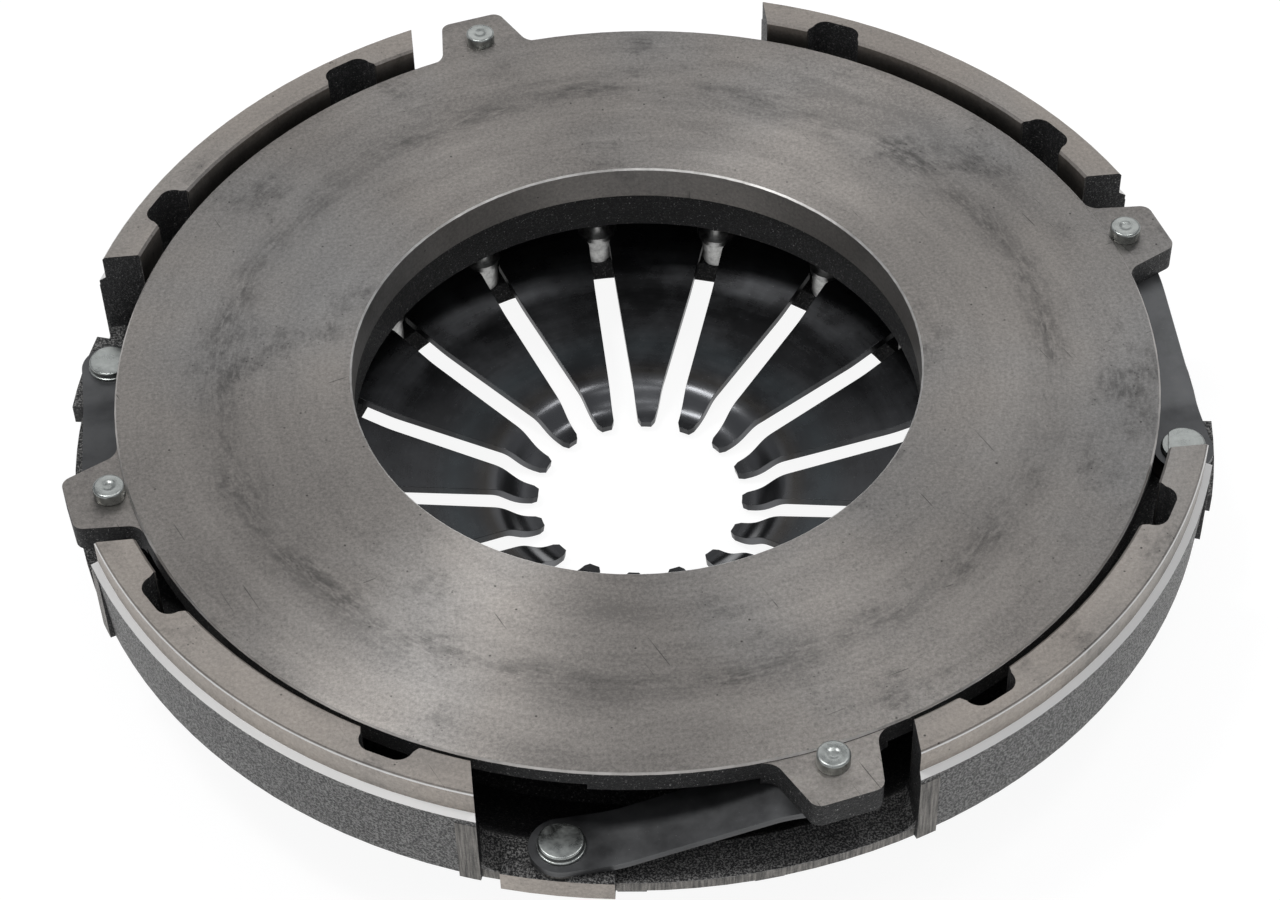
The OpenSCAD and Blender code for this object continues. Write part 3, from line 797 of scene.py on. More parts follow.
def smooth_step(t: np.ndarray) -> np.ndarray:
    """0 below 0, 1 above 1, and 3t^2 - 2t^3 between."""
    t = np.clip(t, 0, 1)
    return t * t * (3 - 2 * t)


def edge_round(
    item: bpy.types.Object, width_mm: float, segments: int = 2, angle: float = 35.0
) -> None:
    """Adds a live bevel that rounds the sharp edges.

    Args:
        item: the object.
        width_mm: how wide the bevel is.
        segments: faces across it.
        angle: the angle in degrees over which an edge is sharp.
    """
    bevel = item.modifiers.new("edge", "BEVEL")
    bevel.width = width_mm * MM
    bevel.segments = segments
    bevel.limit_method = "ANGLE"
    bevel.angle_limit = math.radians(angle)
    bevel.harden_normals = True


def sheet_wall(item: bpy.types.Object, thickness_mm: float) -> None:
    """Gives a single surface its thickness, away from its normals.

    Args:
        item: the surface's object.
        thickness_mm: how thick the wall is.
    """
    wall = item.modifiers.new("wall", "SOLIDIFY")
    wall.thickness = thickness_mm * MM
    wall.offset = -1.0
    wall.use_even_offset = True


@dataclass
class CarriedPiece:
    """A piece whose surface is carried over from the frame as it is, and given its finish."""

    node: str

    def build(self) -> bpy.types.Object:
        """Takes the piece's node."""
        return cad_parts[self.node]

    def dress(self, item: bpy.types.Object, material: bpy.types.Material) -> None:
        """Puts the material in the piece's slot."""
        item.material_slots[0].material = material


@dataclass
class CoverCasting(CarriedPiece):
    """The cast cover: rough skin everywhere but on the turned and milled faces."""

    node: str = "cover"
    skin: RoughCasting = COVER_SKIN
    turned: TurnedIron = COVER_FACE
    chalk: Colour = (0.38, 0.374, 0.362)
    # Pale colour of the sill patches: painted light.
    sill_light: Colour = (0.30, 0.295, 0.285)
    # Near white on the ledge is a painted highlight.
    ledge_highlight: Colour = (0.97, 0.955, 0.93)
    strip_dark: Colour = (0.10, 0.097, 0.092)
    strip_light: Colour = (0.30, 0.285, 0.265)
    chalk_grain: Grain = Grain(1300.0, 3.0, 0.7)
    sill_light_grain: Grain = Grain(1500.0, 3.0, 0.7)
    mill_lines: Grain = Grain(1.3, 3.0, 0.6)
    mill_rise: float = 0.06
    ledge_metallic: float = 0.5
    strip_metallic: float = 0.8
    skin_depth: float = 0.7
    turned_depth: float = 0.02
    rim_z: float = -0.9
    spigot_r: float = 193.4
    spigot_low_z: float = -9.3
    ledge_r: float = 193.9
    ledge_low_z: float = -11.0
    bore_r: float = 182.4
    bore_low_z: float = -36.6
    wall_r: float = 194.2
    wall_top_z: float = -10.4
    strip_r: float = 196.7
    strip_top_z: float = -11.6
    pad_r: float = 197.9
    lip_r: float = 194.0
    lip_top_z: float = -36.2
    lip_half: float = 66.9
    sill_r: float = 180.0
    sill_z: float = -30.0
    spot_r: float = 10.0
    spot_z: float = -41.5
    spot_half: float = 0.3
    bolt_r: float = 183.5
    bolt_angles: tuple[float, float] = (30.0, 60.0)

    def spot_faces(self, polar: Polar) -> Socket:
        """Where the bolt heads sit: within spot_r of a bolt's line, worked out in |x| and |y|.

        Args:
            polar: coordinates about the axis.

        Returns:
            The mask's socket.
        """
        bench = polar.bench
        x, y = bench.math("ABSOLUTE", polar.x), bench.math("ABSOLUTE", polar.y)
        near = []
        for angle in self.bolt_angles:
            a = math.radians(angle)
            dx = bench.math("SUBTRACT", x, self.bolt_r * math.cos(a))
            dy = bench.math("SUBTRACT", y, self.bolt_r * math.sin(a))
            near.append(polar.below(bench.vector("LENGTH", bench.join(dx, dy, 0.0)), self.spot_r))
        level = polar.between(polar.z, self.spot_z - self.spot_half, self.spot_z + self.spot_half)
        return bench.times(bench.most(*near), level, polar.below(polar.up, -0.9))

    def machined(self, polar: Polar) -> tuple[Socket, Socket]:
        """Where the cover is turned: rim top, spigot, ledge, bore, pads and spot faces.

        Args:
            polar: coordinates about the axis.

        Returns:
            Masks of all turned faces and of the ledge alone, which has a painted highlight.
        """
        bench = polar.bench
        top = bench.times(polar.over(polar.up, 0.6, 0.05), polar.over(polar.z, self.rim_z))
        spigot = bench.times(
            polar.over(polar.out, 0.4, 0.05),
            polar.over(polar.z, self.spigot_low_z),
            polar.over(polar.r, self.spigot_r),
        )
        ledge = bench.times(
            polar.over(polar.up, 0.3, 0.05),
            polar.over(polar.z, self.ledge_low_z),
            polar.over(polar.r, self.ledge_r),
        )
        bore = bench.times(
            polar.below(polar.out, -0.4, 0.05),
            polar.below(polar.r, self.bore_r),
            polar.over(polar.z, self.bore_low_z),
        )
        pad = bench.times(polar.over(polar.out, 0.6, 0.05), polar.over(polar.r, self.pad_r))
        return bench.most(top, spigot, ledge, bore, pad, self.spot_faces(polar)), ledge

    def milled(self, polar: Polar) -> Socket:
        """Where an end mill has run: the strips beside the windows and the lip under them.

        Args:
            polar: coordinates about the axis.

        Returns:
            The mask's socket.
        """
        bench = polar.bench
        out = polar.over(polar.out, 0.6, 0.05)
        x, y = bench.math("ABSOLUTE", polar.x), bench.math("ABSOLUTE", polar.y)
        sides = bench.math("MINIMUM", x, y)
        strip = bench.times(
            out,
            polar.over(polar.r, self.strip_r, 0.05),
            polar.below(polar.r, self.pad_r),
            polar.below(polar.z, self.strip_top_z),
        )
        lip = bench.times(
            out,
            polar.over(polar.r, self.lip_r),
            polar.below(polar.r, self.strip_r),
            polar.below(polar.z, self.lip_top_z),
            polar.below(sides, self.lip_half, 0.3),
        )
        return bench.most(strip, lip)

    def wall_grain_and_sill_light(self, polar: Polar, colour: Socket) -> Socket:
        """Pale grain on the outer wall, and painted light: pale patches on the window sills.

        Args:
            polar: coordinates about the axis.
            colour: the rough skin's colour.

        Returns:
            The colour with both.
        """
        bench = polar.bench
        wall = bench.times(
            polar.over(polar.out, 0.5, 0.1),
            polar.over(polar.r, self.wall_r),
            polar.below(polar.z, self.wall_top_z),
        )
        chalk = bench.ramp(bench.noise(self.chalk_grain), 0.44, 0.6, 0.05, 1.0)
        colour = bench.mix(bench.times(wall, chalk), colour, self.chalk)
        # Painted light: pale patches make the up-facing window sills brighter, as light falling on
        # them would.
        sill = bench.times(
            polar.over(polar.up, 0.5, 0.1),
            polar.below(polar.z, self.sill_z, 1.0),
            polar.over(polar.r, self.sill_r, 1.0),
        )
        sill_light = bench.ramp(bench.noise(self.sill_light_grain), 0.49, 0.6)
        return bench.mix(bench.times(sill, sill_light), colour, self.sill_light)

    def iron(self) -> bpy.types.Material:
        """The cover's iron: skin, sills and ledge with painted light, turned faces, milled strips.

        Returns:
            The material.
        """
        bench = Bench("cover_iron")
        polar = Polar.on(bench)
        colour, rough, height = self.skin.layers(bench)
        metal, metal_rough, hairs, _ = self.turned.layers(polar)
        turned, ledge = self.machined(polar)
        milled = self.milled(polar)
        colour = self.wall_grain_and_sill_light(polar, colour)
        # The ledge gets a near white colour: a painted highlight.
        colour = bench.mix(turned, colour, bench.mix(ledge, metal, self.ledge_highlight))
        upright = bench.join(polar.x, polar.y, bench.times(polar.z, self.mill_rise))
        lines = bench.ramp(bench.noise(self.mill_lines, upright), 0.35, 0.65)
        colour = bench.mix(milled, colour, bench.mix(lines, self.strip_dark, self.strip_light))
        metallic = bench.most(turned, bench.times(milled, self.strip_metallic))
        metallic = bench.times(metallic, bench.ramp(ledge, 0.0, 1.0, 1.0, self.ledge_metallic))
        roughness = bench.blend(turned, rough, metal_rough)
        depth = bench.blend(turned, height, bench.times(hairs, self.turned_depth))
        return bench.finish(colour, metallic, roughness, bench.bump(depth, self.skin_depth))


@dataclass
class PlateCasting(CarriedPiece):
    """Pressure plate: turned face, bore band, ground lugs, painted bevel highlights, rough skin."""

    node: str = "pressure_plate"
    skin: RoughCasting = PLATE_SKIN
    face: TurnedIron = PLATE_FACE
    burnt: Colour = (0.07, 0.068, 0.066)
    # Pale bevel colours: painted highlights, brighter inside worn_r than outside it.
    edge: Colour = (0.9, 0.88, 0.85)
    outer_bevel_highlight: Colour = (0.60, 0.575, 0.55)
    bore_shade: Colour = (0.10, 0.098, 0.095)
    sway: Grain = Grain(19.0, 6.0, 0.7)
    patch: Grain = Grain(26.0, 8.0, 0.72)
    bevel_highlight_grain: Grain = Grain(60.0, 4.0, 0.7)
    worn_r: float = 142.0
    worn_w: float = 10.0
    worn_sway: float = 13.0
    face_low_z: float = FRICTION_Z - 0.3
    lug_z: float = FRICTION_Z - 1.3
    lug_top_z: float = FRICTION_Z - 0.5
    bevel_z: float = FRICTION_Z - 0.66
    band_low_z: float = FRICTION_Z - 12.9
    band_r: float = 97.6
    band_share: float = 0.4
    skin_depth: float = 0.6
    skin_strength: float = 0.9
    turned_depth: float = 0.02
    anisotropy: float = 0.85

    def worn(self, polar: Polar, speckle: Socket) -> Socket:
        """A dark ring that the disc has rubbed, broken into patches; its radius sways by a noise.

        Args:
            polar: coordinates about the axis.
            speckle: the face's fine speckle.

        Returns:
            The mask's socket.
        """
        bench = polar.bench
        r = bench.total((bench.noise(self.sway), 2 * self.worn_sway), (polar.r, 1.0))
        ring = polar.near(r, self.worn_r + self.worn_sway, 0.0, self.worn_w, 0.75)
        patch = bench.ramp(bench.noise(self.patch), 0.42, 0.62, 0.25, 1.0)
        return bench.times(ring, speckle, patch)

    def iron(self) -> bpy.types.Material:
        """The plate's iron: rough skin, with face, lug tops, bevels and bore band in bare metal.

        Returns:
            The material.
        """
        bench = Bench("plate_iron")
        polar = Polar.on(bench)
        colour, rough, height = self.skin.layers(bench)
        metal, metal_rough, hairs, speckle = self.face.layers(polar)
        flat = polar.over(polar.up, 0.95, 0.02)
        face = bench.times(flat, polar.over(polar.z, self.face_low_z))
        lugs = bench.times(flat, polar.between(polar.z, self.lug_z, self.lug_top_z))
        bevel = bench.times(
            polar.over(polar.z, self.bevel_z),
            polar.below(polar.up, 0.9, 0.04),
            polar.over(polar.up, 0.3, 0.05),
        )
        band = bench.times(
            polar.below(polar.out, -0.9, 0.03),
            polar.over(polar.z, self.band_low_z),
            polar.below(polar.r, self.band_r),
        )
        mask = bench.most(face, bevel, lugs, band)
        metal = bench.mix(bench.times(face, self.worn(polar, speckle)), metal, self.burnt)
        # Painted highlight: the bevels are painted pale, in patches of a noise.
        bevel_highlight_patches = bench.ramp(bench.noise(self.bevel_highlight_grain), 0.36, 0.6, 0.4, 1.0)
        edge = bench.mix(polar.over(polar.r, self.worn_r), self.edge, self.outer_bevel_highlight)
        metal = bench.mix(bench.times(bevel, bevel_highlight_patches), metal, edge)
        # Painted shade: the bore band is darkened towards bore_shade by band_share.
        metal = bench.mix(bench.times(band, self.band_share), metal, self.bore_shade)
        colour = bench.mix(mask, colour, metal)
        roughness = bench.blend(mask, rough, metal_rough)
        depth = bench.blend(mask, height, bench.times(hairs, self.turned_depth))
        bump = bench.bump(depth, self.skin_depth, self.skin_strength)
        return bench.finish(colour, mask, roughness, bump, self.anisotropy)


@dataclass
class DiaphragmSpring:
    """The spring: one smooth coned sheet with sixteen shaped fingers, thickened by a wall."""

    fingers: int = 16
    slot_angle: float = 2.0
    rim_r: float = 146.0
    pivot_r: float = 126.6
    cone: float = math.tan(math.radians(19.6))
    bend_r: float = 92.3
    finger_slope: float = math.tan(math.radians(12.45))
    step_r: float = 52.0
    step_run: float = 10.5
    step_drop: float = 6.4
    tip_r: float = 36.5
    tip_drop: float = 0.9
    tip_half: float = 4.45
    tip_taper: float = 1.95
    tip_flare: float = 0.437
    root_half: float = 3.8
    root_r: float = 117.4
    window_r: float = 7.6
    thickness: float = 3.15
    blend: float = 2.5
    edge: float = 0.35
    flattened: float = 0.05
    blend_steps: int = 11
    columns: int = 13
    rim_rows: int = 9
    window_rows: int = 15
    window_arc: float = 0.66
    finger_rows: int = 60
    tip_rows: int = 4

    def line(self, r: np.ndarray) -> np.ndarray:
        """Height of the upper side as three straight parts and the step.

        Args:
            r: distances from the axis.

        Returns:
            A cone outside bend_r, a flatter finger inside it, then a fall by step_drop on an eased
            curve over step_run, and a last slope that falls by tip_drop to the tip.
        """
        bend_z = PIVOT_Z + self.cone * (self.bend_r - self.pivot_r)
        step_z = bend_z - self.finger_slope * (self.bend_r - self.step_r)
        foot_r = self.step_r - self.step_run
        cone = PIVOT_Z + self.cone * (r - self.pivot_r)
        finger = bend_z - self.finger_slope * (self.bend_r - r)
        fall = smooth_step((self.step_r - r) / self.step_run) * self.step_drop
        slope = self.tip_drop * np.clip((foot_r - r) / (foot_r - self.tip_r), 0, 2)
        inside = np.where(r >= self.step_r, finger, step_z - fall - slope)
        return np.where(r >= self.bend_r, cone, inside)

    def height(self, r: np.ndarray) -> np.ndarray:
        """Height of the upper side: the mean of the line over the blend each way."""
        shifts = np.linspace(-self.blend, self.blend, self.blend_steps)
        return np.mean([self.line(r + shift) for shift in shifts], axis=0)

    def slot_half(self, r: np.ndarray) -> np.ndarray:
        """Half width of a slot.

        Args:
            r: distances from the axis.

        Returns:
            A straight taper from root to tip and a flare at the tip, or the chord of the round
            window where that is wider.
        """
        flare_r = self.tip_r + self.tip_taper
        change = (self.root_half - self.tip_half) * (r - flare_r) / (self.root_r - flare_r)
        taper = self.tip_half + change
        flare = np.clip(flare_r - r, 0, None) * self.tip_flare
        chord = np.sqrt(np.clip(self.window_r**2 - (r - self.root_r) ** 2, 0, None))
        return np.where(r > self.root_r, chord, np.maximum(taper + flare, chord))

    def build(self) -> bpy.types.Object:
        """The sheet: across each finger the angle runs from one slot edge to the next.

        Returns:
            The spring's object, with its wall and its rounded edges as modifiers.
        """
        window_end = self.root_r + self.window_r
        flare_r = self.tip_r + self.tip_taper
        turn = np.linspace(0, math.pi * self.window_arc, self.window_rows)[1:]
        outer = np.linspace(self.rim_r, window_end, self.rim_rows)
        arc = self.root_r + self.window_r * np.cos(turn)
        inner = np.linspace(arc[-1], flare_r, self.finger_rows)[1:]
        tip = np.linspace(flare_r, self.tip_r, self.tip_rows)[1:]
        r = np.concatenate([outer, arc, inner, tip])
        half = np.where(r >= window_end - 1e-9, 0.0, self.slot_half(r))
        gap = np.arcsin(half / r)[:, None]
        pitch = 2 * math.pi / self.fingers
        across = np.linspace(0, 1, self.columns)[None, :]
        finger = math.radians(self.slot_angle) + gap + (pitch - 2 * gap) * across
        a = finger[None] + pitch * np.arange(self.fingers)[:, None, None]
        radius = np.broadcast_to(r[None, :, None], a.shape)
        z = np.broadcast_to(self.height(r)[None, :, None], a.shape)
        points = np.stack([radius * np.cos(a), radius * np.sin(a), z], axis=-1)
        rows, cols = a.shape[1:]
        first = rows * cols * np.arange(self.fingers)[:, None, None]
        item = sheet("spring_sheet", points, (grid(rows, cols)[None] + first).reshape(-1, 4))
        sheet_wall(item, self.thickness)
        edge_round(item, self.edge)
        return item

    def dress(self, item: bpy.types.Object) -> None:
        """Dark steel, riding on the cover body in place of its node.

        Args:
            item: the spring's object.
        """
        item.data.materials.append(HardenedSpring().material("spring_steel"))
        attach(item, Body.COVER.value)
        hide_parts("diaphragm_spring")
        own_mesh(item)


@dataclass
class StrapPack:
    """One of the four packs of two leaves, from its lug to the cover."""

    corner: int
    lug_angle: float = 13.1
    sweep: float = 26.1
    lug_r: float = 183.0
    cover_r: float = 187.6
    width: float = 20.4
    leaf: float = 1.2
    gap: float = 0.05
    high_z: float = -15.6
    low_z: float = -28.65
    flat: float = 12.0
    bend_share: float = 0.14
    edge: float = 0.25
    end_rows: int = 13
    span_rows: int = 44
    columns: int = 13

    def path(self) -> tuple[np.ndarray, np.ndarray, float]:
        """Where the pack starts, which way it runs and how far.

        Returns:
            The lug rivet's place, the unit direction to the cover rivet, and the span.
        """
        a = math.radians(self.lug_angle + 360 / CORNERS * (self.corner - 1))
        b = a - math.radians(self.sweep)
        lug = np.array([math.cos(a), math.sin(a)]) * self.lug_r
        cover = np.array([math.cos(b), math.sin(b)]) * self.cover_r
        span = float(np.linalg.norm(cover - lug))
        return lug, (cover - lug) / span, span

    def fall(self, s: np.ndarray, span: float) -> np.ndarray:
        """Height along the pack: flat, a parabola, a straight slope, a parabola, flat.

        Args:
            s: distances along the pack.
            span: its length between the rivets.

        Returns:
            The heights of the upper leaf.
        """
        t = np.clip((s - self.flat) / (span - 2 * self.flat), 0, 1)
        w = self.bend_share
        start = t * t / (2 * w * (1 - w))
        end = 1 - (1 - t) ** 2 / (2 * w * (1 - w))
        share = np.where(t < w, start, np.where(t > 1 - w, end, (t - w / 2) / (1 - w)))
        return self.high_z + (self.low_z - self.high_z) * share

    def build(self) -> list[bpy.types.Object]:
        """Both leaves: a grid along and across, narrowed to a half circle at each end.

        Returns:
            The upper and the lower leaf.
        """
        lug, run, span = self.path()
        side = np.array([-run[1], run[0]])
        end = self.width / 2
        cap = end * np.sin(np.linspace(0, math.pi / 2, self.end_rows))
        s = np.concatenate([-cap[::-1], np.linspace(0, span, self.span_rows)[1:-1], span + cap])
        over = np.where(s < 0, -s, np.where(s > span, s - span, 0))
        half = np.sqrt(np.clip(end**2 - over**2, 0, None))
        v = np.linspace(-1, 1, self.columns)
        xy = lug + run * s[:, None, None] + side * (half[:, None] * v)[..., None]
        leaves = []
        for layer, leaf in enumerate(Leaf):
            z = self.fall(s, span) - layer * (self.leaf + self.gap)
            height = np.broadcast_to(z[:, None, None], xy.shape[:2] + (1,))
            points = np.concatenate([xy, height], axis=-1)
            item = sheet(f"strap_{self.corner}_{leaf.value}_sheet", points, grid(*xy.shape[:2]))
            sheet_wall(item, self.leaf)
            edge_round(item, self.edge)
            leaves.append(item)
        return leaves

    def dress(self, leaves: list[bpy.types.Object], steel: bpy.types.Material) -> None:
        """Strap steel, in place of each leaf's node.

        Args:
            leaves: the upper and the lower leaf.
            steel: the strap material.
        """
        for item, leaf in zip(leaves, Leaf):
            item.data.materials.append(steel)
            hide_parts(f"strap_{self.corner}_{leaf.value}_leaf")
            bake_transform(item)


@dataclass
class Rivet(ABC):
    """A turned rivet with rounded edges, set upright at one radius and angle."""

    corner: int
    node: str
    body: Body
    radius: float
    angle: float
    shank_r: float
    tail_r: float
    tail_foot_r: float
    tail_z: float
    tail_low_z: float
    sharp: float = 50.0

    @abstractmethod
    def head(self) -> Profile:
        """Corners (radius, height, rounding) of the head, from the shank to its top's middle."""

    def shank(self) -> Profile:
        """The closed end, from its middle to the foot of the shank.

        Returns:
            Its corners (radius, height, rounding).
        """
        return [
            (0, self.tail_low_z, 0),
            (self.tail_foot_r, self.tail_low_z, 0.8),
            (self.tail_r, self.tail_z, 0.3),
            (self.shank_r, self.tail_z, 0),
        ]

    def points(self) -> np.ndarray:
        """The rounded profile turned about the rivet's own line.

        Returns:
            Array (profile points, steps, 3).
        """
        a = math.radians(self.angle + 360 / CORNERS * (self.corner - 1))
        place = (self.radius * math.cos(a), self.radius * math.sin(a))
        return revolve(rounded(self.shank() + self.head()), place)

    def build(self) -> bpy.types.Object:
        """The rivet's closed shell."""
        return shell(f"{self.node}_{self.corner}_turned", self.points())

    def dress(self, item: bpy.types.Object, steel: bpy.types.Material) -> None:
        """Zinc, riding on its body in place of its node; edges over the sharp angle shade crisply.

        Args:
            item: the rivet's object.
            steel: the zinc material.
        """
        item.data.materials.append(steel)
        item.data.set_sharp_from_angle(angle=math.radians(self.sharp))
        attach(item, self.body.value)
        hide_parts(f"{self.node}_{self.corner}")


@dataclass
class LugRivet(Rivet):
    """The rivet that holds a strap pack to its lug, with a dimple in its flat head."""

    node: str = "lug_rivet"
    body: Body = Body.PLATE
    radius: float = 183.0
    angle: float = 13.1
    shank_r: float = 4.0
    tail_r: float = 6.5
    tail_foot_r: float = 5.0
    tail_z: float = -18.05
    tail_low_z: float = -21.05
    head_r: float = 5.3
    head_top_z: float = -1.4
    head_z: float = -5.8
    dimple_r: float = 2.4
    dimple_foot_r: float = 1.2
    dimple: float = 0.4

    def head(self) -> Profile:
        """The head, from the shank to the foot of the dimple.

        Returns:
            Its corners (radius, height, rounding).
        """
        return [
            (self.shank_r, self.head_z, 0),
            (self.head_r, self.head_z, 0.3),
            (self.head_r, self.head_top_z, 1.0),
            (self.dimple_r, self.head_top_z, 0.6),
            (self.dimple_foot_r, self.head_top_z - self.dimple, 0.6),
            (0, self.head_top_z - self.dimple, 0),
        ]


@dataclass
class CoverRivet(Rivet):
    """The rivet that holds a strap pack to the cover: a collar, and a head cut by the bore tool."""

    node: str = "cover_rivet"
    body: Body = Body.COVER
    radius: float = 187.6
    angle: float = -13.0
    shank_r: float = 5.0
    tail_r: float = 6.75
    tail_foot_r: float = 5.25
    tail_z: float = -41.5
    tail_low_z: float = -44.3
    head_r: float = 7.2
    head_top_z: float = -25.65
    collar_r: float = 7.7
    collar_z: float = -28.65
    collar_top_z: float = -27.8
    collar_fall: float = 0.15
    cut_r: float = 182.4
    cut_z: float = -27.05
    cut_step: float = 0.05

    def head(self) -> Profile:
        """The head, from the shank over the collar to the middle of the top.

        Returns:
            Its corners (radius, height, rounding).
        """
        return [
            (self.shank_r, self.collar_z, 0),
            (self.collar_r, self.collar_z, 0.3),
            (self.collar_r, self.collar_top_z - self.collar_fall, 0.3),
            (self.head_r, self.collar_top_z, 0.2),
            (self.head_r, self.cut_z - self.cut_step, 0),
            (self.head_r, self.cut_z + self.cut_step, 0),
            (self.head_r, self.head_top_z, 0.8),
            (0, self.head_top_z, 0),
        ]

    def points(self) -> np.ndarray:
        """The turned profile; what lies above cut_z and inside cut_r is moved out to cut_r.

        Returns:
            Array (profile points, steps, 3).
        """
        points = super().points()
        r = np.hypot(points[..., 0], points[..., 1])
        push = np.where((r < self.cut_r) & (points[..., 2] > self.cut_z), self.cut_r / r, 1.0)
        points[..., :2] *= push[..., None]
        return points


@dataclass(frozen=True)
class Lamp:
    """A soft box: its name, its place and size in metres, and its power in watts."""

    name: str
    at: Place
    size: tuple[float, float]
    power: float

    def hang(self) -> None:
        """Hangs the lamp, aimed at the origin."""
        data = bpy.data.lights.new(self.name, "AREA")
        data.shape = "RECTANGLE"
        data.size, data.size_y = self.size
        data.energy = self.power
        item = bpy.data.objects.new(self.name, data)
        bpy.context.scene.collection.objects.link(item)
        item.location = self.at
        item.rotation_mode = "QUATERNION"
        item.rotation_quaternion = (-Vector(self.at)).to_track_quat("-Z", "Y")


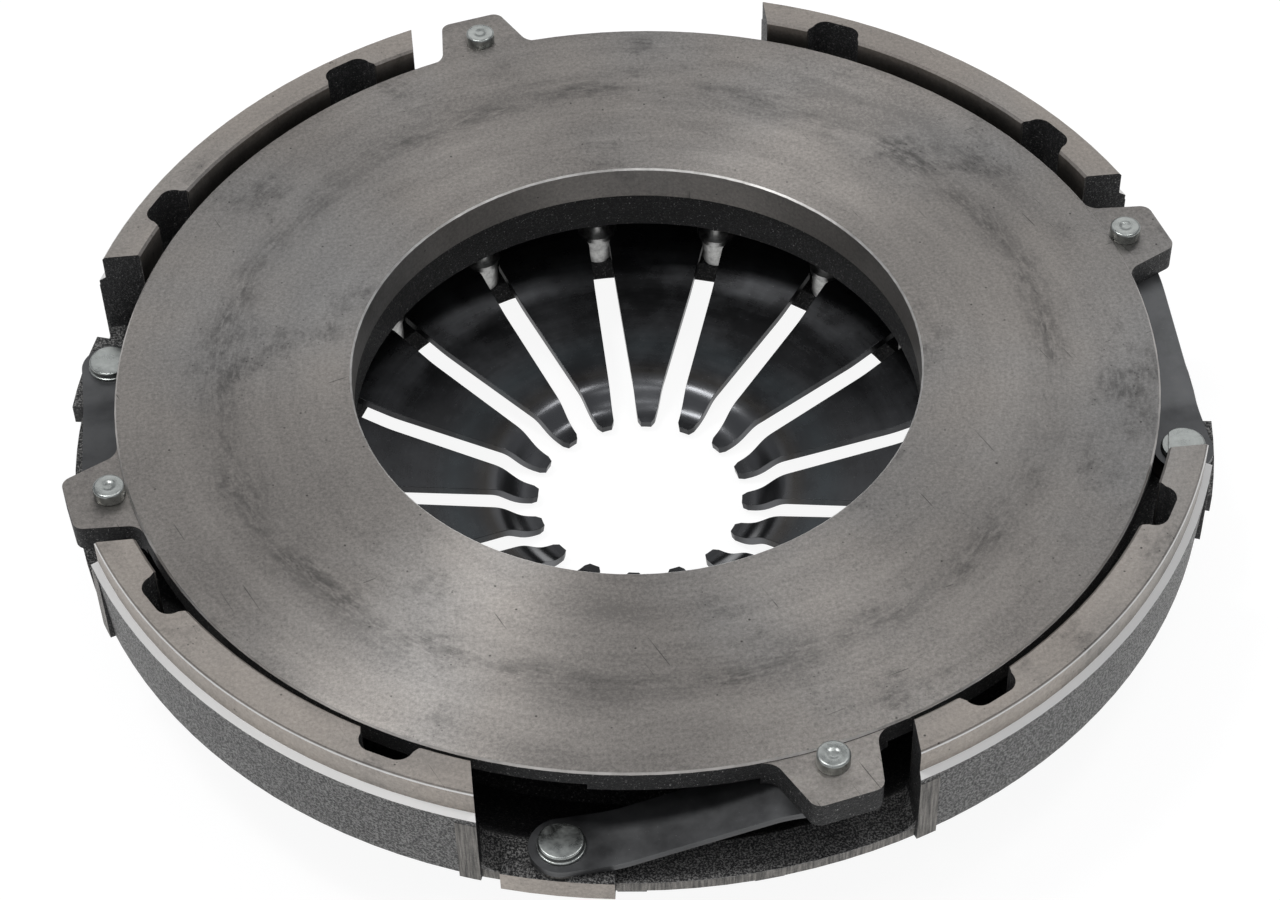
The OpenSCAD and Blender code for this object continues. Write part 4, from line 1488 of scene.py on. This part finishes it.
@dataclass
class Studio:
    """Floor, lamps, world and camera."""

    floor_z: float = -79.2
    floor_half: float = 8.0
    floor_grey: float = 0.8
    floor_white: float = 1.14
    floor_share: float = 0.8
    world_tint: Colour = (0.94, 0.96, 1.0)
    world_level: float = 0.36
    turn: float = -4.8
    elevation: float = 46.602
    roll: float = -1.513
    distance: float = 1025.4
    shift_right: float = 1.23
    shift_up: float = -31.45
    lens: float = 84.465
    sensor: float = 36.0
    clip: tuple[float, float] = (0.05, 50.0)
    lamps: tuple[Lamp, ...] = (
        Lamp("left_light", (-0.75, 0.17, 2.0), (0.35, 0.6), 12.5),
        Lamp("right_light", (0.75, 0.17, 2.0), (0.35, 0.6), 5.5),
        Lamp("back_light", (0.3, 2.0, 1.7), (2.4, 1.2), 7.0),
        Lamp("front_light", (-0.4, -1.7, 1.5), (1.6, 1.0), 2.5),
        Lamp("bar_light", (0.0, -0.85, 2.1), (1.2, 0.25), 2.5),
    )

    def camera(self) -> None:
        """Camera fitted to the photograph.

        Its place is distance along the backward axis from the friction face's centre, plus the two
        sideways shifts; its axes are right, up and back, turned by the roll about back.
        """
        e, roll = math.radians(self.elevation), math.radians(self.roll)
        about = Matrix.Rotation(math.radians(self.turn), 3, "Z")
        back = about @ Vector((0, -math.cos(e), math.sin(e)))
        level = about @ Vector((1, 0, 0))
        upright = about @ Vector((0, math.sin(e), math.cos(e)))
        right = math.cos(roll) * level + math.sin(roll) * upright
        up = -math.sin(roll) * level + math.cos(roll) * upright
        place = self.distance * back + self.shift_right * right + self.shift_up * up
        place += Vector((0, 0, FRICTION_Z))
        axes = Matrix((right, up, back)).transposed().to_4x4()
        data = bpy.data.cameras.new("camera")
        data.lens = self.lens
        data.sensor_width = self.sensor
        data.sensor_fit = "HORIZONTAL"
        data.clip_start, data.clip_end = self.clip
        item = bpy.data.objects.new("camera", data)
        bpy.context.scene.collection.objects.link(item)
        item.matrix_world = Matrix.Translation(place * MM) @ axes
        bpy.context.scene.camera = item

    def whiten(
        self,
        tree: bpy.types.NodeTree,
        out: bpy.types.Node,
        plain: bpy.types.Node,
        white: bpy.types.Node,
        share: Socket,
    ) -> None:
        """Ends a tree in a plain shader that gives way to a white one.

        Args:
            tree: the node tree.
            out: its output node.
            plain: the plain shader.
            white: the white one.
            share: how far the white one shows.
        """
        mixed = tree.nodes.new("ShaderNodeMixShader")
        for source, socket in zip((share, plain.outputs[0], white.outputs[0]), mixed.inputs):
            tree.links.new(source, socket)
        tree.links.new(mixed.outputs[0], out.inputs[0])

    def floor_paper(self) -> bpy.types.Material:
        """Pale paper that keeps a shadow but shows mostly white to the camera and to reflections.

        Returns:
            The material.
        """
        bench = Bench("floor")
        plain = bench.tree.nodes.new("ShaderNodeBsdfDiffuse")
        grey = self.floor_grey
        plain.inputs["Color"].default_value = (grey, grey, grey, 1)
        white = bench.tree.nodes.new("ShaderNodeEmission")
        white.inputs["Color"].default_value = (1, 1, 1, 1)
        white.inputs["Strength"].default_value = self.floor_white
        path = bench.tree.nodes.new("ShaderNodeLightPath")
        seen = bench.most(path.outputs["Is Camera Ray"], path.outputs["Is Glossy Ray"])
        self.whiten(bench.tree, bench.out, plain, white, bench.times(seen, self.floor_share))
        return bench.material

    def floor(self) -> None:
        """A wide level floor under the clutch."""
        mesh = bpy.data.meshes.new("floor")
        s, z = self.floor_half, self.floor_z * MM
        mesh.from_pydata([(-s, -s, z), (s, -s, z), (s, s, z), (-s, s, z)], [], [(0, 1, 2, 3)])
        mesh.materials.append(self.floor_paper())
        item = bpy.data.objects.new("floor", mesh)
        bpy.context.scene.collection.objects.link(item)

    def world(self) -> None:
        """A grey world for light, white to the camera."""
        world = bpy.data.worlds.new("world")
        bpy.context.scene.world = world
        world.use_nodes = True
        tree = world.node_tree
        tree.nodes.clear()
        light = tree.nodes.new("ShaderNodeBackground")
        light.inputs["Color"].default_value = (*self.world_tint, 1)
        light.inputs["Strength"].default_value = self.world_level
        white = tree.nodes.new("ShaderNodeBackground")
        white.inputs["Color"].default_value = (1, 1, 1, 1)
        white.inputs["Strength"].default_value = 1.0
        path = tree.nodes.new("ShaderNodeLightPath")
        out = tree.nodes.new("ShaderNodeOutputWorld")
        self.whiten(tree, out, light, white, path.outputs["Is Camera Ray"])

    def build(self) -> None:
        """Sets up camera, floor, world and lamps."""
        self.camera()
        self.floor()
        self.world()
        for lamp in self.lamps:
            lamp.hang()
        bpy.context.scene.view_settings.view_transform = "Standard"


def main() -> None:
    """Builds and dresses the sub-assemblies in order."""
    for casting in (CoverCasting(), PlateCasting()):
        casting.dress(casting.build(), casting.iron())
        log.info("%s dressed", casting.node)
    spring = DiaphragmSpring()
    spring.dress(spring.build())
    log.info("diaphragm spring built")
    wire = RING_WIRE.material("ring_wire")
    for ring in (CarriedPiece("upper_fulcrum_ring"), CarriedPiece("lower_fulcrum_ring")):
        ring.dress(ring.build(), wire)
        log.info("%s dressed", ring.node)
    pivots = CarriedPiece("pivot_rivets")
    pivots.dress(pivots.build(), PivotSteel().material("pivot_steel"))
    log.info("%s dressed", pivots.node)
    strap_steel = STRAP_STEEL.material("strap_steel")
    zinc = ZINC.material("rivet_zinc")
    for corner in range(1, CORNERS + 1):
        pack = StrapPack(corner)
        pack.dress(pack.build(), strap_steel)
        log.info("strap pack %d built", corner)
        for rivet in (LugRivet(corner), CoverRivet(corner)):
            rivet.dress(rivet.build(), zinc)
            log.info("%s %d built", rivet.node, corner)
    Studio().build()
    log.info("studio set")


if __name__ == "__main__":
    main()
